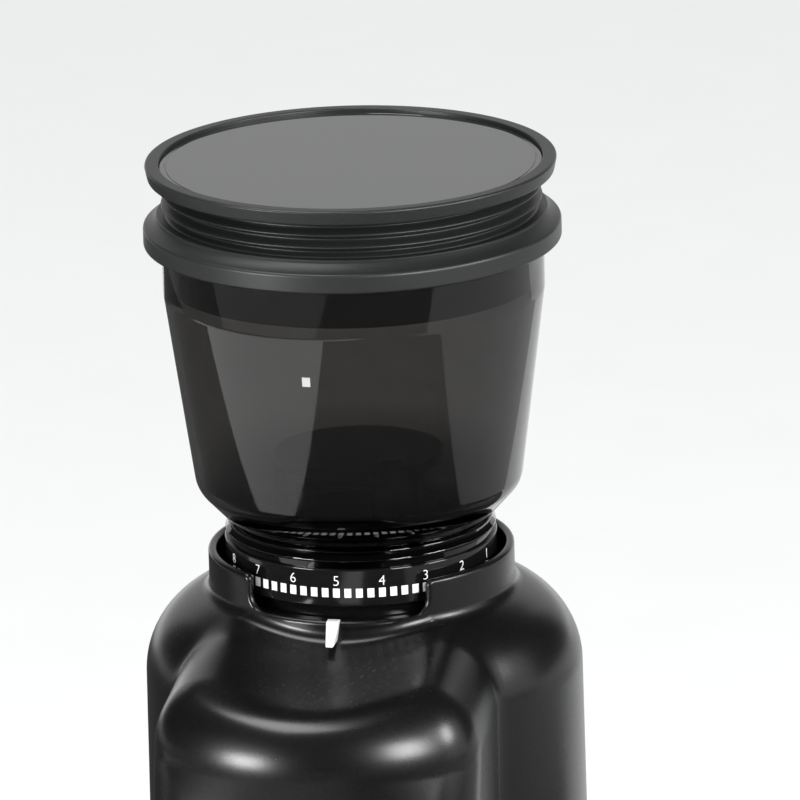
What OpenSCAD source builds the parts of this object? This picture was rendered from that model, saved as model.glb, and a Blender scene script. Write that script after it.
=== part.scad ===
// Electric burr coffee grinder: a turned column with a scooped front hump over the grounds cup,
// a smoked hopper that stands on the grind dial, and a lid whose bellows blows the last grounds out.
// Millimetres. Front is -Y, right is +X, the table is z = 0.

/* [Body] */
// Radius of the column at the base
column_radius = 63.5; // [60:0.5:68]
// Radius that the column loses between the base and its shoulder
column_draft = 1.7; // [0.5:0.1:3]
// Radius of the shoulder round
shoulder_radius = 25; // [21:0.5:28]
// Drop from the collar's top to the centre of the shoulder round
shoulder_drop = 36.4; // [34:0.2:40]
// Wall of the housings
wall = 2.8; // [2:0.1:3.4]
// Height of the upper housing, from the seam to the collar's top
upper_height = 121; // [115:1:130]
// Height of the base above its feet
base_height = 11; // [9:0.5:16]
// Height of the feet under the base
foot_height = 3; // [2:0.5:6]
// Reach of the base in front of the hopper axis
front_reach = 102.5; // [98:0.5:110]

/* [Hump] */
// Half width of the hump
hump_half = 46; // [44:0.5:50]
// Distance that the hump stays behind the front of the base
hump_setback = 4; // [0:0.5:6]
// Radius of the upright corners
hump_corner = 22; // [18:1:26]
// Round along the top front edge
hump_brow = 20; // [16:1:26]
// Round along the top side edges
hump_cheek = 20; // [14:0.5:24]
// Fall of the top towards the front, degrees
hump_fall = 7; // [4:0.5:10]
// Drop from the collar's top to the hump's top where it leaves the shoulder
hump_drop = 13.5; // [12.5:0.1:18]
// Radius of the scoop in the hump's top
scoop_radius = 85; // [60:5:140]
// Fall of the scoop towards the front, degrees
scoop_fall = 13; // [10:0.5:16]
// Drop from the collar's top to the scoop at the collar's foot
scoop_drop = 16; // [15:0.2:20]

/* [Collar and dial] */
// Outside radius of the collar
collar_radius = 43.2; // [41:0.2:46]
// Wall of the collar
collar_wall = 2.5; // [2:0.1:3]
// Half width of the front window
window_half = 25.4; // [22:0.2:30]
// Depth of the front window
window_depth = 10.2; // [9:0.2:11]
// Radius of the window's lower corners
window_corner = 5; // [3:0.5:8]
// Gap between the collar and the dial ring
dial_gap = 2.3; // [1.5:0.1:3]
// Height of the dial ring above the collar
dial_rise = 3.5; // [2:0.1:5]
// Height of the dial's printed band
dial_height = 10.9; // [10:0.1:12]
// Height of the white pointer
pointer_height = 8; // [6:0.2:9]
// Width of the pointer at its top
pointer_width = 4; // [3:0.2:6]

/* [Hopper] */
// Outside radius of the mouth
mouth_radius = 53.5; // [50:0.5:58]
// Outside radius at the lower end of the taper
bowl_radius = 45.2; // [42:0.2:50]
// Height of the hopper above the dial
hopper_height = 85.3; // [75:0.5:100]
// Height of the straight mouth
mouth_height = 14.4; // [12:0.2:22]
// Height of the bowl's lower corner above the dial
bowl_height = 13.7; // [12:0.1:16]
// Round at the bowl's lower corner
bowl_round = 8; // [5:0.5:12]
// Wall of the hopper
hopper_wall = 2.4; // [1.8:0.1:3]
// Radius of the bean guard's cap
guard_radius = 23.6; // [20:0.2:26]
// Height of the guard's cap above the dial
guard_height = 24.5; // [20:0.5:30]

/* [Blower lid] */
// Radius of the lid's flange
flange_radius = 58.5; // [57:0.5:62]
// Height of the flange's upright edge
flange_edge = 5.5; // [4:0.1:7]
// Rise of the flange's sloping top
flange_slope = 3.2; // [2:0.1:5]
// Depth of the plug in the hopper's mouth
skirt_depth = 11.6; // [8:0.2:12]
// Outside radius of the bellows
bellows_radius = 53.3; // [50:0.1:55]
// Height of the bellows at rest
bellows_height = 10.3; // [9:0.1:14]
// Depth of the bellows' folds
fold_depth = 2.6; // [1.5:0.1:4]
// Radius of the press plate
plate_radius = 57.5; // [56:0.5:61]
// Height of the press plate
plate_height = 4.2; // [3.6:0.1:6]
// Width of the press plate's raised rim
plate_rim = 3.6; // [2.5:0.1:6]

/* [Burrs] */
// Height of the ring burr
ring_burr_height = 17; // [14:0.5:20]
// Height of the cone burr
cone_burr_height = 23; // [20:0.5:26]
// Gap between the burrs at their lower edge, at rest
burr_gap = 0.6; // [0.5:0.05:0.9]
// Height of the wave spring under the carrier
spring_height = 4; // [3.5:0.1:5]
// Height of the impeller's chamber
cavity_height = 18; // [16:0.5:20]
// Radius of the spindle
spindle_radius = 4; // [3.5:0.1:4.5]

/* [Gear train] */
// Module of the motor stage
motor_module = 0.8; // [0.7:0.05:0.85]
// Module of the spindle stage
spindle_module = 1; // [0.9:0.05:1.05]
// Face width of the gears
gear_face = 9; // [7:0.5:10]
// Tooth thinning for backlash
backlash = 0.16; // [0.1:0.02:0.3]

/* [Motor] */
// Radius of the motor can
motor_radius = 22; // [20:0.5:23]
// Length of the motor can
motor_length = 70; // [60:1:76]
// Radius of the motor shaft
shaft_radius = 2.5; // [2:0.1:2.6]

/* [Cup and chute] */
// Outside radius of the cup's rim
cup_radius = 39.5; // [36:0.5:42]
// Height of the cup
cup_height = 105; // [95:1:110]
// Wall of the cup
cup_wall = 2; // [1.5:0.1:3]
// Gap between the cup and the wall of its bay
bay_gap = 3.5; // [2.5:0.1:5]
// Clearance between the cup and the outlet above it
cup_clearance = 3; // [2:0.5:6]
// Drop of the outlet under the hump's floor
nozzle_drop = 6; // [4:0.5:9]
// Outside radius of the outlet
nozzle_radius = 10.5; // [9:0.5:12]

/* [Switch and board] */
// Height of the switch above the base
switch_height = 50; // [40:1:60]
// Half height of the switch's bezel
switch_half = 11.5; // [10:0.5:14]
// Width of the control board
board_width = 34; // [28:1:38]
// Height of the control board
board_height = 50; // [40:1:60]

/* [Hidden] */
$fn = 96;
eps = 0.01;
run_gap = 0.3;
fit_gap = 0.04;
hole_gap = 0.3;

// Stack of levels from the table up
z_base = foot_height;
z_deck = z_base + base_height;
cup_top = z_deck + cup_height;
z_nozzle = cup_top + cup_clearance;
z_seam = z_nozzle + nozzle_drop;
z_collar = z_seam + upper_height;
z_dial = z_collar + dial_rise;
z_mouth = z_dial + hopper_height;
z_seat = z_mouth + flange_edge + flange_slope;
z_plate = z_seat + bellows_height;
z_top = z_plate + plate_height;

// Plan
axis_y = (front_reach - column_radius) / 2;
hump_front = front_reach - hump_setback;
cup_front_gap = 2.5;
cup_reach = front_reach - cup_front_gap - cup_radius;
bay_radius = cup_radius + bay_gap;

// Column
z_shoulder = z_collar - shoulder_drop;
shoulder_wall_radius = column_radius - column_draft;
shoulder_centre = shoulder_wall_radius - shoulder_radius;
z_floor = z_collar - window_depth;
floor_thick = 3.3;
foot_fillet = 3;
z_fillet = z_shoulder + sqrt(pow(shoulder_radius, 2) - pow(collar_radius - shoulder_centre, 2));

// Hump
hump_back = 30;
z_hump = z_collar - hump_drop;
round_lead = 0.2;
brow_centre = hump_front - hump_brow + round_lead;
cheek_centre = hump_half - hump_cheek + round_lead;
z_brow = z_hump - (brow_centre - hump_back) * tan(hump_fall) - (hump_brow - round_lead) / cos(hump_fall);
scoop_back = collar_radius + 1.3;
long = 400;

// Dial, carrier and burrs, from the collar inwards
dial_radius = collar_radius - collar_wall - dial_gap;
sleeve_radius = dial_radius - 3.4;
sleeve_bore = sleeve_radius - 3.7;
plug_bore = sleeve_radius - 0.4;
plug_radius = plug_bore - run_gap;
plug_depth = 8.2;
z_sleeve = z_collar - 29.6;
z_dial_foot = z_dial - dial_height;
carrier_radius = sleeve_bore - run_gap;
ring_burr_radius = carrier_radius - 5.5;
z_carrier = z_sleeve - 9.4;
carrier_height = 30;
throat_radius = ring_burr_radius - 2.3;
cone_radius = ring_burr_radius - 6.5;
cone_top_radius = 9;
z_cone = z_carrier - 1;
cone_slope = (cone_radius - cone_top_radius) / cone_burr_height;
grind_band = 5;
coarse_flutes = 8;
fine_flutes = 40;
key_count = 3;
key_width = 6;
key_depth = 1.8;
ring_slant = 25;

// Grinding chamber
z_spring = z_carrier - spring_height;
z_cavity = z_spring - cavity_height;
cavity_radius = ring_burr_radius + 0.5;
chamber_radius = sleeve_radius + 5;
chamber_floor = 4;
z_chamber_top = z_collar - 22;
lobe_thick = 4;
lobe_reach = chamber_radius + 5;
lobe_radius = 6;
lobe_angles = [45, 165, 285];
bearing_radius = 11;
bearing_height = 7;
bearing_boss = 12.6;
z_bearing = z_cavity - chamber_floor - bearing_height;
spindle_shoulder = spindle_radius + 1.5;
seal_radius = 9;
seal_height = 3;
impeller_radius = cavity_radius - 1.2;
impeller_plate = 3;
vane_height = 13;
vane_count = 6;
outlet_half = 10;
z_outlet = z_cavity + 1;
outlet_height = 14;
spout_reach = chamber_radius + 2;

// Gear train
pressure_angle = 25;
motor_teeth = 12;
idler_teeth = 48;
idler_pinion_teeth = 12;
output_teeth = 54;
stage_one = motor_module * (motor_teeth + idler_teeth) / 2;
stage_two = spindle_module * (idler_pinion_teeth + output_teeth) / 2;
motor_y = bearing_boss + motor_radius + 0.4;
idler_y = (pow(stage_two, 2) - pow(stage_one, 2) + pow(motor_y, 2)) / (2 * motor_y);
idler_x = sqrt(pow(stage_two, 2) - pow(idler_y, 2));
angle_to_idler = atan2(idler_y, idler_x);
angle_to_motor = atan2(motor_y - idler_y, -idler_x);
plate_thick = 3;
z_gear_plate = z_seam + 6;
z_gear_top = z_gear_plate + plate_thick;
z_stage_one = z_gear_top + 2;
z_stage_two = z_stage_one + gear_face + 2;
z_bridge = z_stage_two + gear_face + 4;
bridge_thick = 3;
post_radius = 4.5;
posts = [[-6, 46], [46, -6]];
idler_pin_radius = 3;
pillar_radius = 5;
pillar_reach = column_radius - 12.5;
plate_round = pillar_reach - pillar_radius;
pillar_angles = [-22, 125, 194];
mount_height = 2;
z_lower_bearing = z_gear_top - 1 - bearing_height;

// Motor
z_motor = z_gear_plate - motor_length;
can_wall = 1.5;
can_top = 2.5;
cap_height = 6;
magnet_thick = 4;
rotor_gap = 0.7;
rotor_radius = motor_radius - can_wall - fit_gap - magnet_thick - rotor_gap;
rotor_length = 44;
motor_bolt = 12.5;
motor_bolt_angles = [60, 240];
fan_radius = 18;
fan_height = 7;
z_fan = z_motor - fan_height - 6;

// Fasteners, as [shank radius, head radius, head height]
small_screw = [1.5, 2.8, 1.6];
large_screw = [2, 3.6, 2.6];
boss_radius = 5;
base_boss_height = 18;
boss_bite = 0.8;
base_boss_reach = column_radius - wall - boss_radius + boss_bite;
base_boss_angles = [65, 115, -20, 200];
seam_boss_reach = column_at(z_seam) - wall - boss_radius + boss_bite;
bay_to_boss = bay_radius + wall + 5.2;
bay_turn = acos(
    (pow(seam_boss_reach, 2) + pow(cup_reach, 2) - pow(bay_to_boss, 2))
    / (2 * seam_boss_reach * cup_reach)
);
seam_boss_angles = [10, 170, bay_turn - 90, 270 - bay_turn];
seam_lug = 6;
floor_plate = 2.5;
floor_boss_x = hump_half - wall - 4;
floor_boss_reach = hump_front - 20;

// Switch, board and gland
z_switch = z_deck + switch_height;
switch_flat = column_radius - 3;
switch_wide = 7.5;
switch_depth = 20;
rocker_half = switch_half - 2;
pivot_radius = 0.9;
board_x = 21.5 - column_radius;
board_thick = 1.6;
board_post = 3.5;
z_board = z_deck + 26;
gland_flat = column_radius - 3;
gland_radius = 7;
gland_bore = 3.4;
z_gland = z_deck + 12;
z_vent = z_gland + 18;
vent_count = 5;
vent_pitch = 7;
vent_height = 3;
vent_half = 18;

// Radius of the column's outside at a height
function column_at(z) = column_radius - column_draft * (z - z_deck) / (z_shoulder - z_deck);

// Height of the upper housing's inner roof at a reach
function roof_at(reach) =
    z_shoulder + sqrt(pow(shoulder_radius - wall, 2) - pow(max(0, reach - shoulder_centre), 2));

// Point at a reach and an angle from the hopper axis
function polar(reach, angle) = [reach * cos(angle), reach * sin(angle)];

// Puts children in the frame of the hopper axis
module at_axis() {
    translate([0, axis_y, 0])
        children();
}

// Repeats children around an axis
module around(reach, angles) {
    for (a = angles)
        translate(polar(reach, a))
            children();
}

// Extrudes a side view, drawn as forward reach and height, across the body's width
module across(half) {
    rotate([90, 0, -90])
        linear_extrude(height = 2 * half, center = true)
            children();
}

// Ring between two radii and two levels
module ring(outer, inner, z0, z1) {
    translate([0, 0, z0])
        difference() {
            cylinder(r = outer, h = z1 - z0);
            translate([0, 0, -eps])
                cylinder(r = inner, h = z1 - z0 + 2 * eps);
        }
}

// Half section of a disc with rounded rims
module disc_section(radius, z0, z1, round_radius) {
    translate([0, z0])
        square([radius - round_radius, z1 - z0]);
    translate([0, z0 + round_radius])
        square([radius, z1 - z0 - 2 * round_radius]);
    for (z = [z0 + round_radius, z1 - round_radius])
        translate([radius - round_radius, z])
            circle(r = round_radius);
}

// Screw that points up, with its head under z = 0
module screw(size, length) {
    slot = size[1] * 1.2;
    cylinder(r = size[0], h = length);
    difference() {
        translate([0, 0, -size[2]])
            cylinder(r = size[1], h = size[2]);
        for (a = [0, 90])
            rotate([0, 0, a])
                translate([-slot / 2, -size[0] / 4, -size[2] - eps])
                    cube([slot, size[0] / 2, size[2] / 2]);
    }
}

// Hole for a screw that points up
module screw_hole(radius, length) {
    translate([0, 0, -eps])
        cylinder(r = radius, h = length + eps);
}

/* Plan of the hump and of the base under it, drawn inwards by an inset */
module front_plan(front, inset) {
    half = hump_half - inset;
    reach = front - inset;
    corner = hump_corner - inset;
    translate([-half, -(reach - corner)])
        square([2 * half, reach - corner]);
    translate([-(half - corner), -reach])
        square([2 * (half - corner), reach]);
    for (side = [-1, 1])
        translate([side * (half - corner), -(reach - corner)])
            circle(r = corner);
}

// Half section of the turned column above the seam, drawn inwards by an inset
module column_section(inset) {
    round_radius = shoulder_radius - inset;
    polygon([
        [0, z_seam],
        [column_at(z_seam) - inset, z_seam],
        [shoulder_wall_radius - inset, z_shoulder],
        [0, z_shoulder]
    ]);
    translate([0, z_shoulder])
        square([shoulder_centre, round_radius]);
    translate([shoulder_centre, z_shoulder])
        circle(r = round_radius);
}

// Half section of the collar's wall with its full round edge
module collar_section() {
    edge = collar_wall / 2;
    translate([collar_radius - collar_wall, z_shoulder])
        square([collar_wall, z_collar - edge - z_shoulder]);
    translate([collar_radius - edge, z_collar - edge])
        circle(r = edge);
}

// Half section of the fillet at the collar's foot
module fillet_section() {
    difference() {
        translate([collar_radius - 1, z_fillet - foot_fillet])
            square([foot_fillet + 1, 2 * foot_fillet - eps]);
        translate([collar_radius + foot_fillet, z_fillet + foot_fillet])
            circle(r = foot_fillet);
    }
}

// Height of the hump's sloping top at a reach in front of the axis
function hump_at(reach) = z_hump - (reach - hump_back) * tan(hump_fall);

/* Solid form of the hump, drawn inwards by an inset, from a reach in front of the axis.
   Each rounding runs a little past the faces it joins, so that all the cuts cross cleanly. */
module hump_form(inset, back) {
    brow_start = brow_centre + hump_brow * sin(hump_fall);
    z_low = z_seam - 1;
    intersection() {
        translate([0, 0, z_seam])
            linear_extrude(height = upper_height)
                front_plan(hump_front, inset);
        across(hump_half + 1)
            polygon([
                [back, z_low],
                [hump_front + 1, z_low],
                [hump_front + 1, hump_at(hump_front + 1) - inset / cos(hump_fall)],
                [back, hump_at(back) - inset / cos(hump_fall)]
            ]);
        across(hump_half + 2) {
            translate([back - 1, z_low - 1])
                square([brow_start - back + 1, upper_height]);
            translate([back - 1, z_low - 1])
                square([hump_front - back + 3, z_brow - z_low]);
            translate([brow_centre, z_brow])
                circle(r = hump_brow - inset);
        }
        translate([0, -hump_back, z_hump])
            rotate([90 + hump_fall, 0, 0])
                linear_extrude(height = long, center = true) {
                    translate([-cheek_centre, -long])
                        square([2 * cheek_centre, 2 * long]);
                    translate([-hump_half - 2, -long])
                        square([2 * hump_half + 4, long - hump_cheek]);
                    for (side = [-1, 1])
                        translate([side * cheek_centre, round_lead - hump_cheek])
                            circle(r = hump_cheek - inset);
                }
    }
}

// Round bar that cuts the scoop, grown by an offset
module scoop_bar(grow) {
    translate([0, -scoop_back, z_collar - scoop_drop])
        rotate([90 + scoop_fall, 0, 0])
            translate([0, scoop_radius, -scoop_back])
                cylinder(r = scoop_radius + grow, h = hump_front + scoop_back, $fn = 180);
}

// Front window of the collar with rounded lower corners and eased upper ones
module window_cut() {
    ease = 2;
    straight = window_half - window_corner;
    rotate([90, 0, 0])
        linear_extrude(height = collar_radius + 2) {
            translate([-window_half, z_floor + window_corner])
                square([2 * window_half, window_depth + 1]);
            translate([-straight, z_floor])
                square([2 * straight, window_depth]);
            for (side = [-1, 1])
                translate([side * straight, z_floor + window_corner])
                    circle(r = window_corner);
            difference() {
                translate([-window_half - ease, z_collar - ease])
                    square([2 * (window_half + ease), ease + 1]);
                for (side = [-1, 1])
                    translate([side * (window_half + ease), z_collar - ease])
                        circle(r = ease);
            }
        }
}

// Wedge of the pointer that leans out towards its foot, grown by an offset
module pointer_form(grow) {
    foot_width = pointer_width * 0.65;
    inner = collar_radius - 1.6;
    lean = 3.2;
    proud = collar_radius + 1.1;
    z_tip = z_floor + 0.4;
    z_foot = z_tip - pointer_height;
    intersection() {
        rotate([90, 0, 0])
            linear_extrude(height = long)
                polygon([
                    [-pointer_width / 2 - grow, z_tip + grow],
                    [-foot_width / 2 - grow, z_foot - grow],
                    [foot_width / 2 + grow, z_foot - grow],
                    [pointer_width / 2 + grow, z_tip + grow]
                ]);
        across(pointer_width)
            polygon([
                [inner - grow, z_tip + 1],
                [proud - lean / pointer_height + grow, z_tip + 1],
                [proud + lean + lean / pointer_height + grow, z_foot - 1],
                [inner - grow, z_foot - 1]
            ]);
    }
}

module pump_plate() {
    recess = 1.9;
    color("#2a2a2b") at_axis()
        difference() {
            rotate_extrude()
                disc_section(plate_radius, z_plate, z_top, 1.2);
            translate([0, 0, z_top - recess])
                cylinder(r = plate_radius - plate_rim, h = recess + 1);
        }
}

module pump_inlay() {
    sunk = 0.9;
    recess = 1.9;
    color("#1d1d1f") at_axis()
        translate([0, 0, z_top - recess])
            cylinder(r = plate_radius - plate_rim - fit_gap, h = recess - sunk);
}

// Zigzag of the bellows' folds, moved inwards by a shift
function fold_line(shift) = [
    for (i = [0 : 6])
        [bellows_radius - shift - (i % 2 == 0 ? fold_depth : 0), z_seat + i * bellows_height / 6]
];

module bellows() {
    skin = 1.4;
    inside = fold_line(skin);
    color("#262627") at_axis()
        rotate_extrude()
            polygon(concat(fold_line(0), [for (i = [6 : -1 : 0]) inside[i]]));
}

module lid_base() {
    skirt_radius = mouth_radius - hopper_wall - run_gap;
    skirt_wall = 2.5;
    web = 2.5;
    z_web = z_mouth + 1;
    hole_radius = 4;
    hole_count = 8;
    hole_reach = skirt_radius * 0.6;
    seat_inner = bellows_radius - fold_depth - 4;
    color("#29292a") at_axis()
        difference() {
            rotate_extrude()
                polygon([
                    [0, z_web],
                    [skirt_radius - skirt_wall, z_web],
                    [skirt_radius - skirt_wall, z_mouth - skirt_depth],
                    [skirt_radius, z_mouth - skirt_depth],
                    [skirt_radius, z_mouth],
                    [flange_radius - 0.6, z_mouth],
                    [flange_radius, z_mouth + 0.6],
                    [flange_radius, z_mouth + flange_edge],
                    [bellows_radius + 0.5, z_seat],
                    [seat_inner, z_seat],
                    [seat_inner, z_web + web],
                    [0, z_web + web]
                ]);
            around(hole_reach, [for (i = [0 : hole_count - 1]) i * 360 / hole_count])
                translate([0, 0, z_web - 1])
                    cylinder(r = hole_radius, h = web + 2);
        }
}

// Filled half section of the hopper, drawn inwards by an inset
module hopper_section(inset, foot) {
    z_neck = z_dial + 5.2;
    neck = dial_radius - 1.7;
    z_bowl = z_dial + bowl_height;
    z_straight = z_mouth - mouth_height;
    down = [neck - bowl_radius, z_neck - z_bowl];
    rise = [mouth_radius - bowl_radius, z_straight - z_bowl];
    u = down / norm(down);
    v = rise / norm(rise);
    half_angle = acos(u * v) / 2;
    corner = [bowl_radius, z_bowl];
    centre = corner + (u + v) / norm(u + v) * bowl_round / sin(half_angle);
    low = centre + bowl_round * [-u[1], u[0]];
    high = centre + bowl_round * [v[1], -v[0]];
    low_in = low - inset * [-u[1], u[0]];
    high_in = high - inset * [v[1], -v[0]];
    polygon([
        [0, foot],
        [plug_radius - inset, foot],
        [plug_radius - inset, z_neck],
        [neck - inset, z_neck],
        low_in,
        centre,
        high_in,
        [mouth_radius - inset, z_straight],
        [mouth_radius - inset, z_mouth + (inset > 0 ? 1 : 0)],
        [0, z_mouth + (inset > 0 ? 1 : 0)]
    ]);
    translate(centre)
        circle(r = bowl_round - inset);
}

module hopper() {
    foot_radius = dial_radius - 0.2;
    color([0.22, 0.21, 0.2, 0.45]) at_axis()
        rotate_extrude()
            difference() {
                union() {
                    hopper_section(0, z_dial - plug_depth);
                    polygon([
                        [0, z_dial],
                        [foot_radius, z_dial],
                        [foot_radius, z_dial + 2.9],
                        [foot_radius - 1, z_dial + 3.8],
                        [foot_radius - 1.5, z_dial + 5.2],
                        [0, z_dial + 5.2]
                    ]);
                }
                hopper_section(hopper_wall, z_dial - plug_depth - 1);
            }
}

module bean_guard() {
    ring_outer = plug_radius - hopper_wall - fit_gap;
    ring_wall = 3;
    z_ring = z_dial - 1;
    ring_height = 4;
    z_cap = z_dial + guard_height;
    cap_edge = 3;
    crown = 260;
    leg_width = 7.4;
    leg_thick = 2.6;
    leg_reach = guard_radius - leg_thick;
    tab_rise = 6.5;
    leg_angles = [-60, 60, 180];
    color("#1b1b1c") at_axis() {
        ring(ring_outer, ring_outer - ring_wall, z_ring, z_ring + ring_height);
        intersection() {
            translate([0, 0, z_cap - cap_edge])
                cylinder(r = guard_radius, h = 2 * cap_edge);
            translate([0, 0, z_cap + 1 - crown])
                sphere(r = crown, $fn = 360);
        }
        for (a = leg_angles)
            rotate([0, 0, a]) {
                translate([leg_reach, -leg_width / 2, z_ring])
                    cube([leg_thick, leg_width, z_cap - cap_edge - z_ring + eps]);
                translate([leg_reach, -leg_width / 2, z_ring])
                    cube([ring_outer - ring_wall / 2 - leg_reach, leg_width, ring_height]);
            }
        rotate([0, 0, leg_angles[0]])
            translate([guard_radius - eps, -leg_width / 2, z_cap - cap_edge])
                cube([leg_thick, leg_width, tab_rise]);
    }
}

module dial_ring() {
    color("#141415") at_axis()
        rotate_extrude()
            polygon([
                [sleeve_bore, z_sleeve + run_gap],
                [sleeve_radius, z_sleeve + run_gap],
                [sleeve_radius, z_dial_foot],
                [dial_radius - 0.4, z_dial_foot],
                [dial_radius, z_dial_foot + 0.4],
                [dial_radius, z_dial - 0.4],
                [dial_radius - 0.4, z_dial],
                [plug_bore, z_dial],
                [plug_bore, z_dial - plug_depth - run_gap],
                [sleeve_bore, z_dial - plug_depth - run_gap]
            ]);
}

module pointer() {
    color("#dcdcda") at_axis()
        pointer_form(0);
}

// Hollow inside of the upper housing, kept a wall away from the scoop
module upper_inside() {
    difference() {
        union() {
            rotate_extrude()
                column_section(wall);
            hump_form(wall, hump_back + wall);
        }
        scoop_bar(wall);
        ring(collar_radius, sleeve_radius, z_floor - floor_thick, z_floor);
    }
    translate([0, 0, z_seam - 1])
        linear_extrude(height = 1 + eps) {
            circle(r = column_at(z_seam) - wall);
            front_plan(hump_front, wall);
        }
}

module upper_shell() {
    difference() {
        union() {
            difference() {
                union() {
                    rotate_extrude() {
                        column_section(0);
                        fillet_section();
                    }
                    hump_form(0, hump_back);
                }
                difference() {
                    scoop_bar(0);
                    translate([0, 0, z_seam])
                        cylinder(r = collar_radius - 0.5, h = upper_height);
                }
            }
            rotate_extrude()
                collar_section();
        }
        upper_inside();
        translate([0, 0, z_floor])
            cylinder(r = collar_radius - collar_wall, h = window_depth + 1);
        translate([0, 0, z_seam])
            cylinder(r = sleeve_radius + 1, h = upper_height);
        window_cut();
        pointer_form(fit_gap);
    }
}

module upper_housing() {
    pillar_foot = z_gear_top + mount_height;
    pillar_top = roof_at(pillar_reach + pillar_radius) + 1.5;
    chamber_boss = 4.5;
    color("#1a1a1b") at_axis()
        difference() {
            union() {
                upper_shell();
                around(pillar_reach, pillar_angles)
                    translate([0, 0, pillar_foot])
                        cylinder(r = pillar_radius, h = pillar_top - pillar_foot);
                around(lobe_reach, lobe_angles)
                    translate([0, 0, z_chamber_top])
                        cylinder(r = chamber_boss, h = roof_at(lobe_reach) + 0.6 - z_chamber_top);
                around(seam_boss_reach, seam_boss_angles)
                    translate([0, 0, z_seam])
                        cylinder(r = boss_radius, h = 16);
                for (side = [-1, 1])
                    translate([side * floor_boss_x, -floor_boss_reach, z_seam + floor_plate])
                        cylinder(r = 4.5, h = 18);
            }
            around(pillar_reach, pillar_angles)
                translate([0, 0, pillar_foot])
                    screw_hole(large_screw[0] + fit_gap, 14);
            around(lobe_reach, lobe_angles)
                translate([0, 0, z_chamber_top])
                    screw_hole(small_screw[0] + fit_gap, 3);
            around(seam_boss_reach, seam_boss_angles)
                translate([0, 0, z_seam])
                    screw_hole(small_screw[0] + fit_gap, 12);
            for (side = [-1, 1])
                translate([side * floor_boss_x, -floor_boss_reach, z_seam + floor_plate])
                    screw_hole(small_screw[0] + fit_gap, 12);
        }
}

module hump_floor() {
    clear = wall + 0.15;
    color("#1c1c1d") at_axis()
        difference() {
            translate([0, 0, z_seam])
                linear_extrude(height = floor_plate)
                    difference() {
                        intersection() {
                            union() {
                                circle(r = shoulder_wall_radius - clear);
                                front_plan(hump_front, clear);
                            }
                            union() {
                                translate([0, -cup_reach])
                                    circle(r = bay_radius + wall);
                                translate([-hump_half, -front_reach])
                                    square([2 * hump_half, front_reach - cup_reach + 20]);
                            }
                        }
                        translate([0, -cup_reach])
                            circle(r = nozzle_radius + run_gap);
                        circle(r = bearing_boss + 1);
                        around(seam_boss_reach, seam_boss_angles)
                            circle(r = boss_radius + 0.5);
                    }
            for (side = [-1, 1])
                translate([side * floor_boss_x, -floor_boss_reach, z_seam])
                    screw_hole(small_screw[0] + hole_gap, floor_plate + 1);
        }
}

// Solid of the lower column, drawn inwards by an inset
module lower_column(inset, z0, z1) {
    rotate_extrude()
        polygon([
            [0, z0],
            [column_at(z0) - inset, z0],
            [column_at(z1) - inset, z1],
            [0, z1]
        ]);
}

module lower_bosses() {
    around(base_boss_reach, base_boss_angles)
        translate([0, 0, z_deck])
            cylinder(r = boss_radius, h = base_boss_height);
    around(seam_boss_reach, seam_boss_angles)
        translate([0, 0, z_seam - seam_lug])
            cylinder(r = boss_radius, h = seam_lug);
    translate([switch_flat - 6, -switch_wide - 3, z_switch - switch_half - 4])
        cube([7, 2 * switch_wide + 6, 2 * switch_half + 8]);
    translate([-gland_radius - 3, gland_flat - 5, z_gland - gland_radius - 3])
        cube([2 * gland_radius + 6, 6, 2 * gland_radius + 6]);
    for (p = board_points())
        translate([-board_wall(p), p[0], p[1]])
            rotate([0, 90, 0])
                cylinder(r = board_post, h = board_wall(p) + board_x - board_thick);
}

// Places of the board's two posts, as depth and height
function board_points() = [
    [board_post + 1.5, z_board + board_post + 1.5],
    [board_width / 2, z_board + board_height - board_post - 1.5]
];

// Reach of a board post, a little way into the housing's wall
function board_wall(p) = sqrt(pow(column_at(p[1]) - wall, 2) - pow(p[0] - board_post, 2)) + 0.4;

module lower_housing() {
    color("#1a1a1b") at_axis()
        difference() {
            union() {
                difference() {
                    lower_column(0, z_deck, z_seam);
                    lower_column(wall, z_deck - 1, z_seam + 1);
                }
                intersection() {
                    lower_column(wall / 2, z_deck, z_seam);
                    translate([0, -cup_reach, z_deck - 1])
                        cylinder(r = bay_radius + wall, h = z_seam - z_deck + 2);
                }
                lower_bosses();
            }
            translate([0, -cup_reach, z_deck - 1])
                cylinder(r = bay_radius, h = z_seam - z_deck + 2);
            around(base_boss_reach, base_boss_angles)
                translate([0, 0, z_deck])
                    screw_hole(large_screw[0] + fit_gap, base_boss_height - 4);
            around(seam_boss_reach, seam_boss_angles)
                translate([0, 0, z_seam - seam_lug - 1])
                    screw_hole(small_screw[0] + hole_gap, seam_lug + 2);
            translate([switch_flat, -switch_wide - 1, z_switch - switch_half - 1])
                cube([10, 2 * switch_wide + 2, 2 * switch_half + 2]);
            translate([switch_flat - 10, -switch_wide + 1, z_switch - switch_half + 1])
                cube([20, 2 * switch_wide - 2, 2 * switch_half - 2]);
            translate([-gland_radius - 1, gland_flat, z_gland - gland_radius - 1])
                cube([2 * gland_radius + 2, 10, 2 * gland_radius + 2]);
            translate([0, gland_flat + 1, z_gland])
                rotate([90, 0, 0])
                    cylinder(r = gland_radius - 2 + fit_gap, h = 10);
            for (i = [0 : vent_count - 1])
                translate([-vent_half, shoulder_wall_radius - 8, z_vent + i * vent_pitch])
                    cube([2 * vent_half, long, vent_height]);
            for (p = board_points())
                translate([board_x - board_thick - 9, p[0], p[1]])
                    rotate([0, 90, 0])
                        cylinder(r = small_screw[0] + fit_gap, h = 10);
        }
}

module base_plan(inset) {
    circle(r = column_radius - inset);
    front_plan(front_reach, inset);
}

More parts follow.
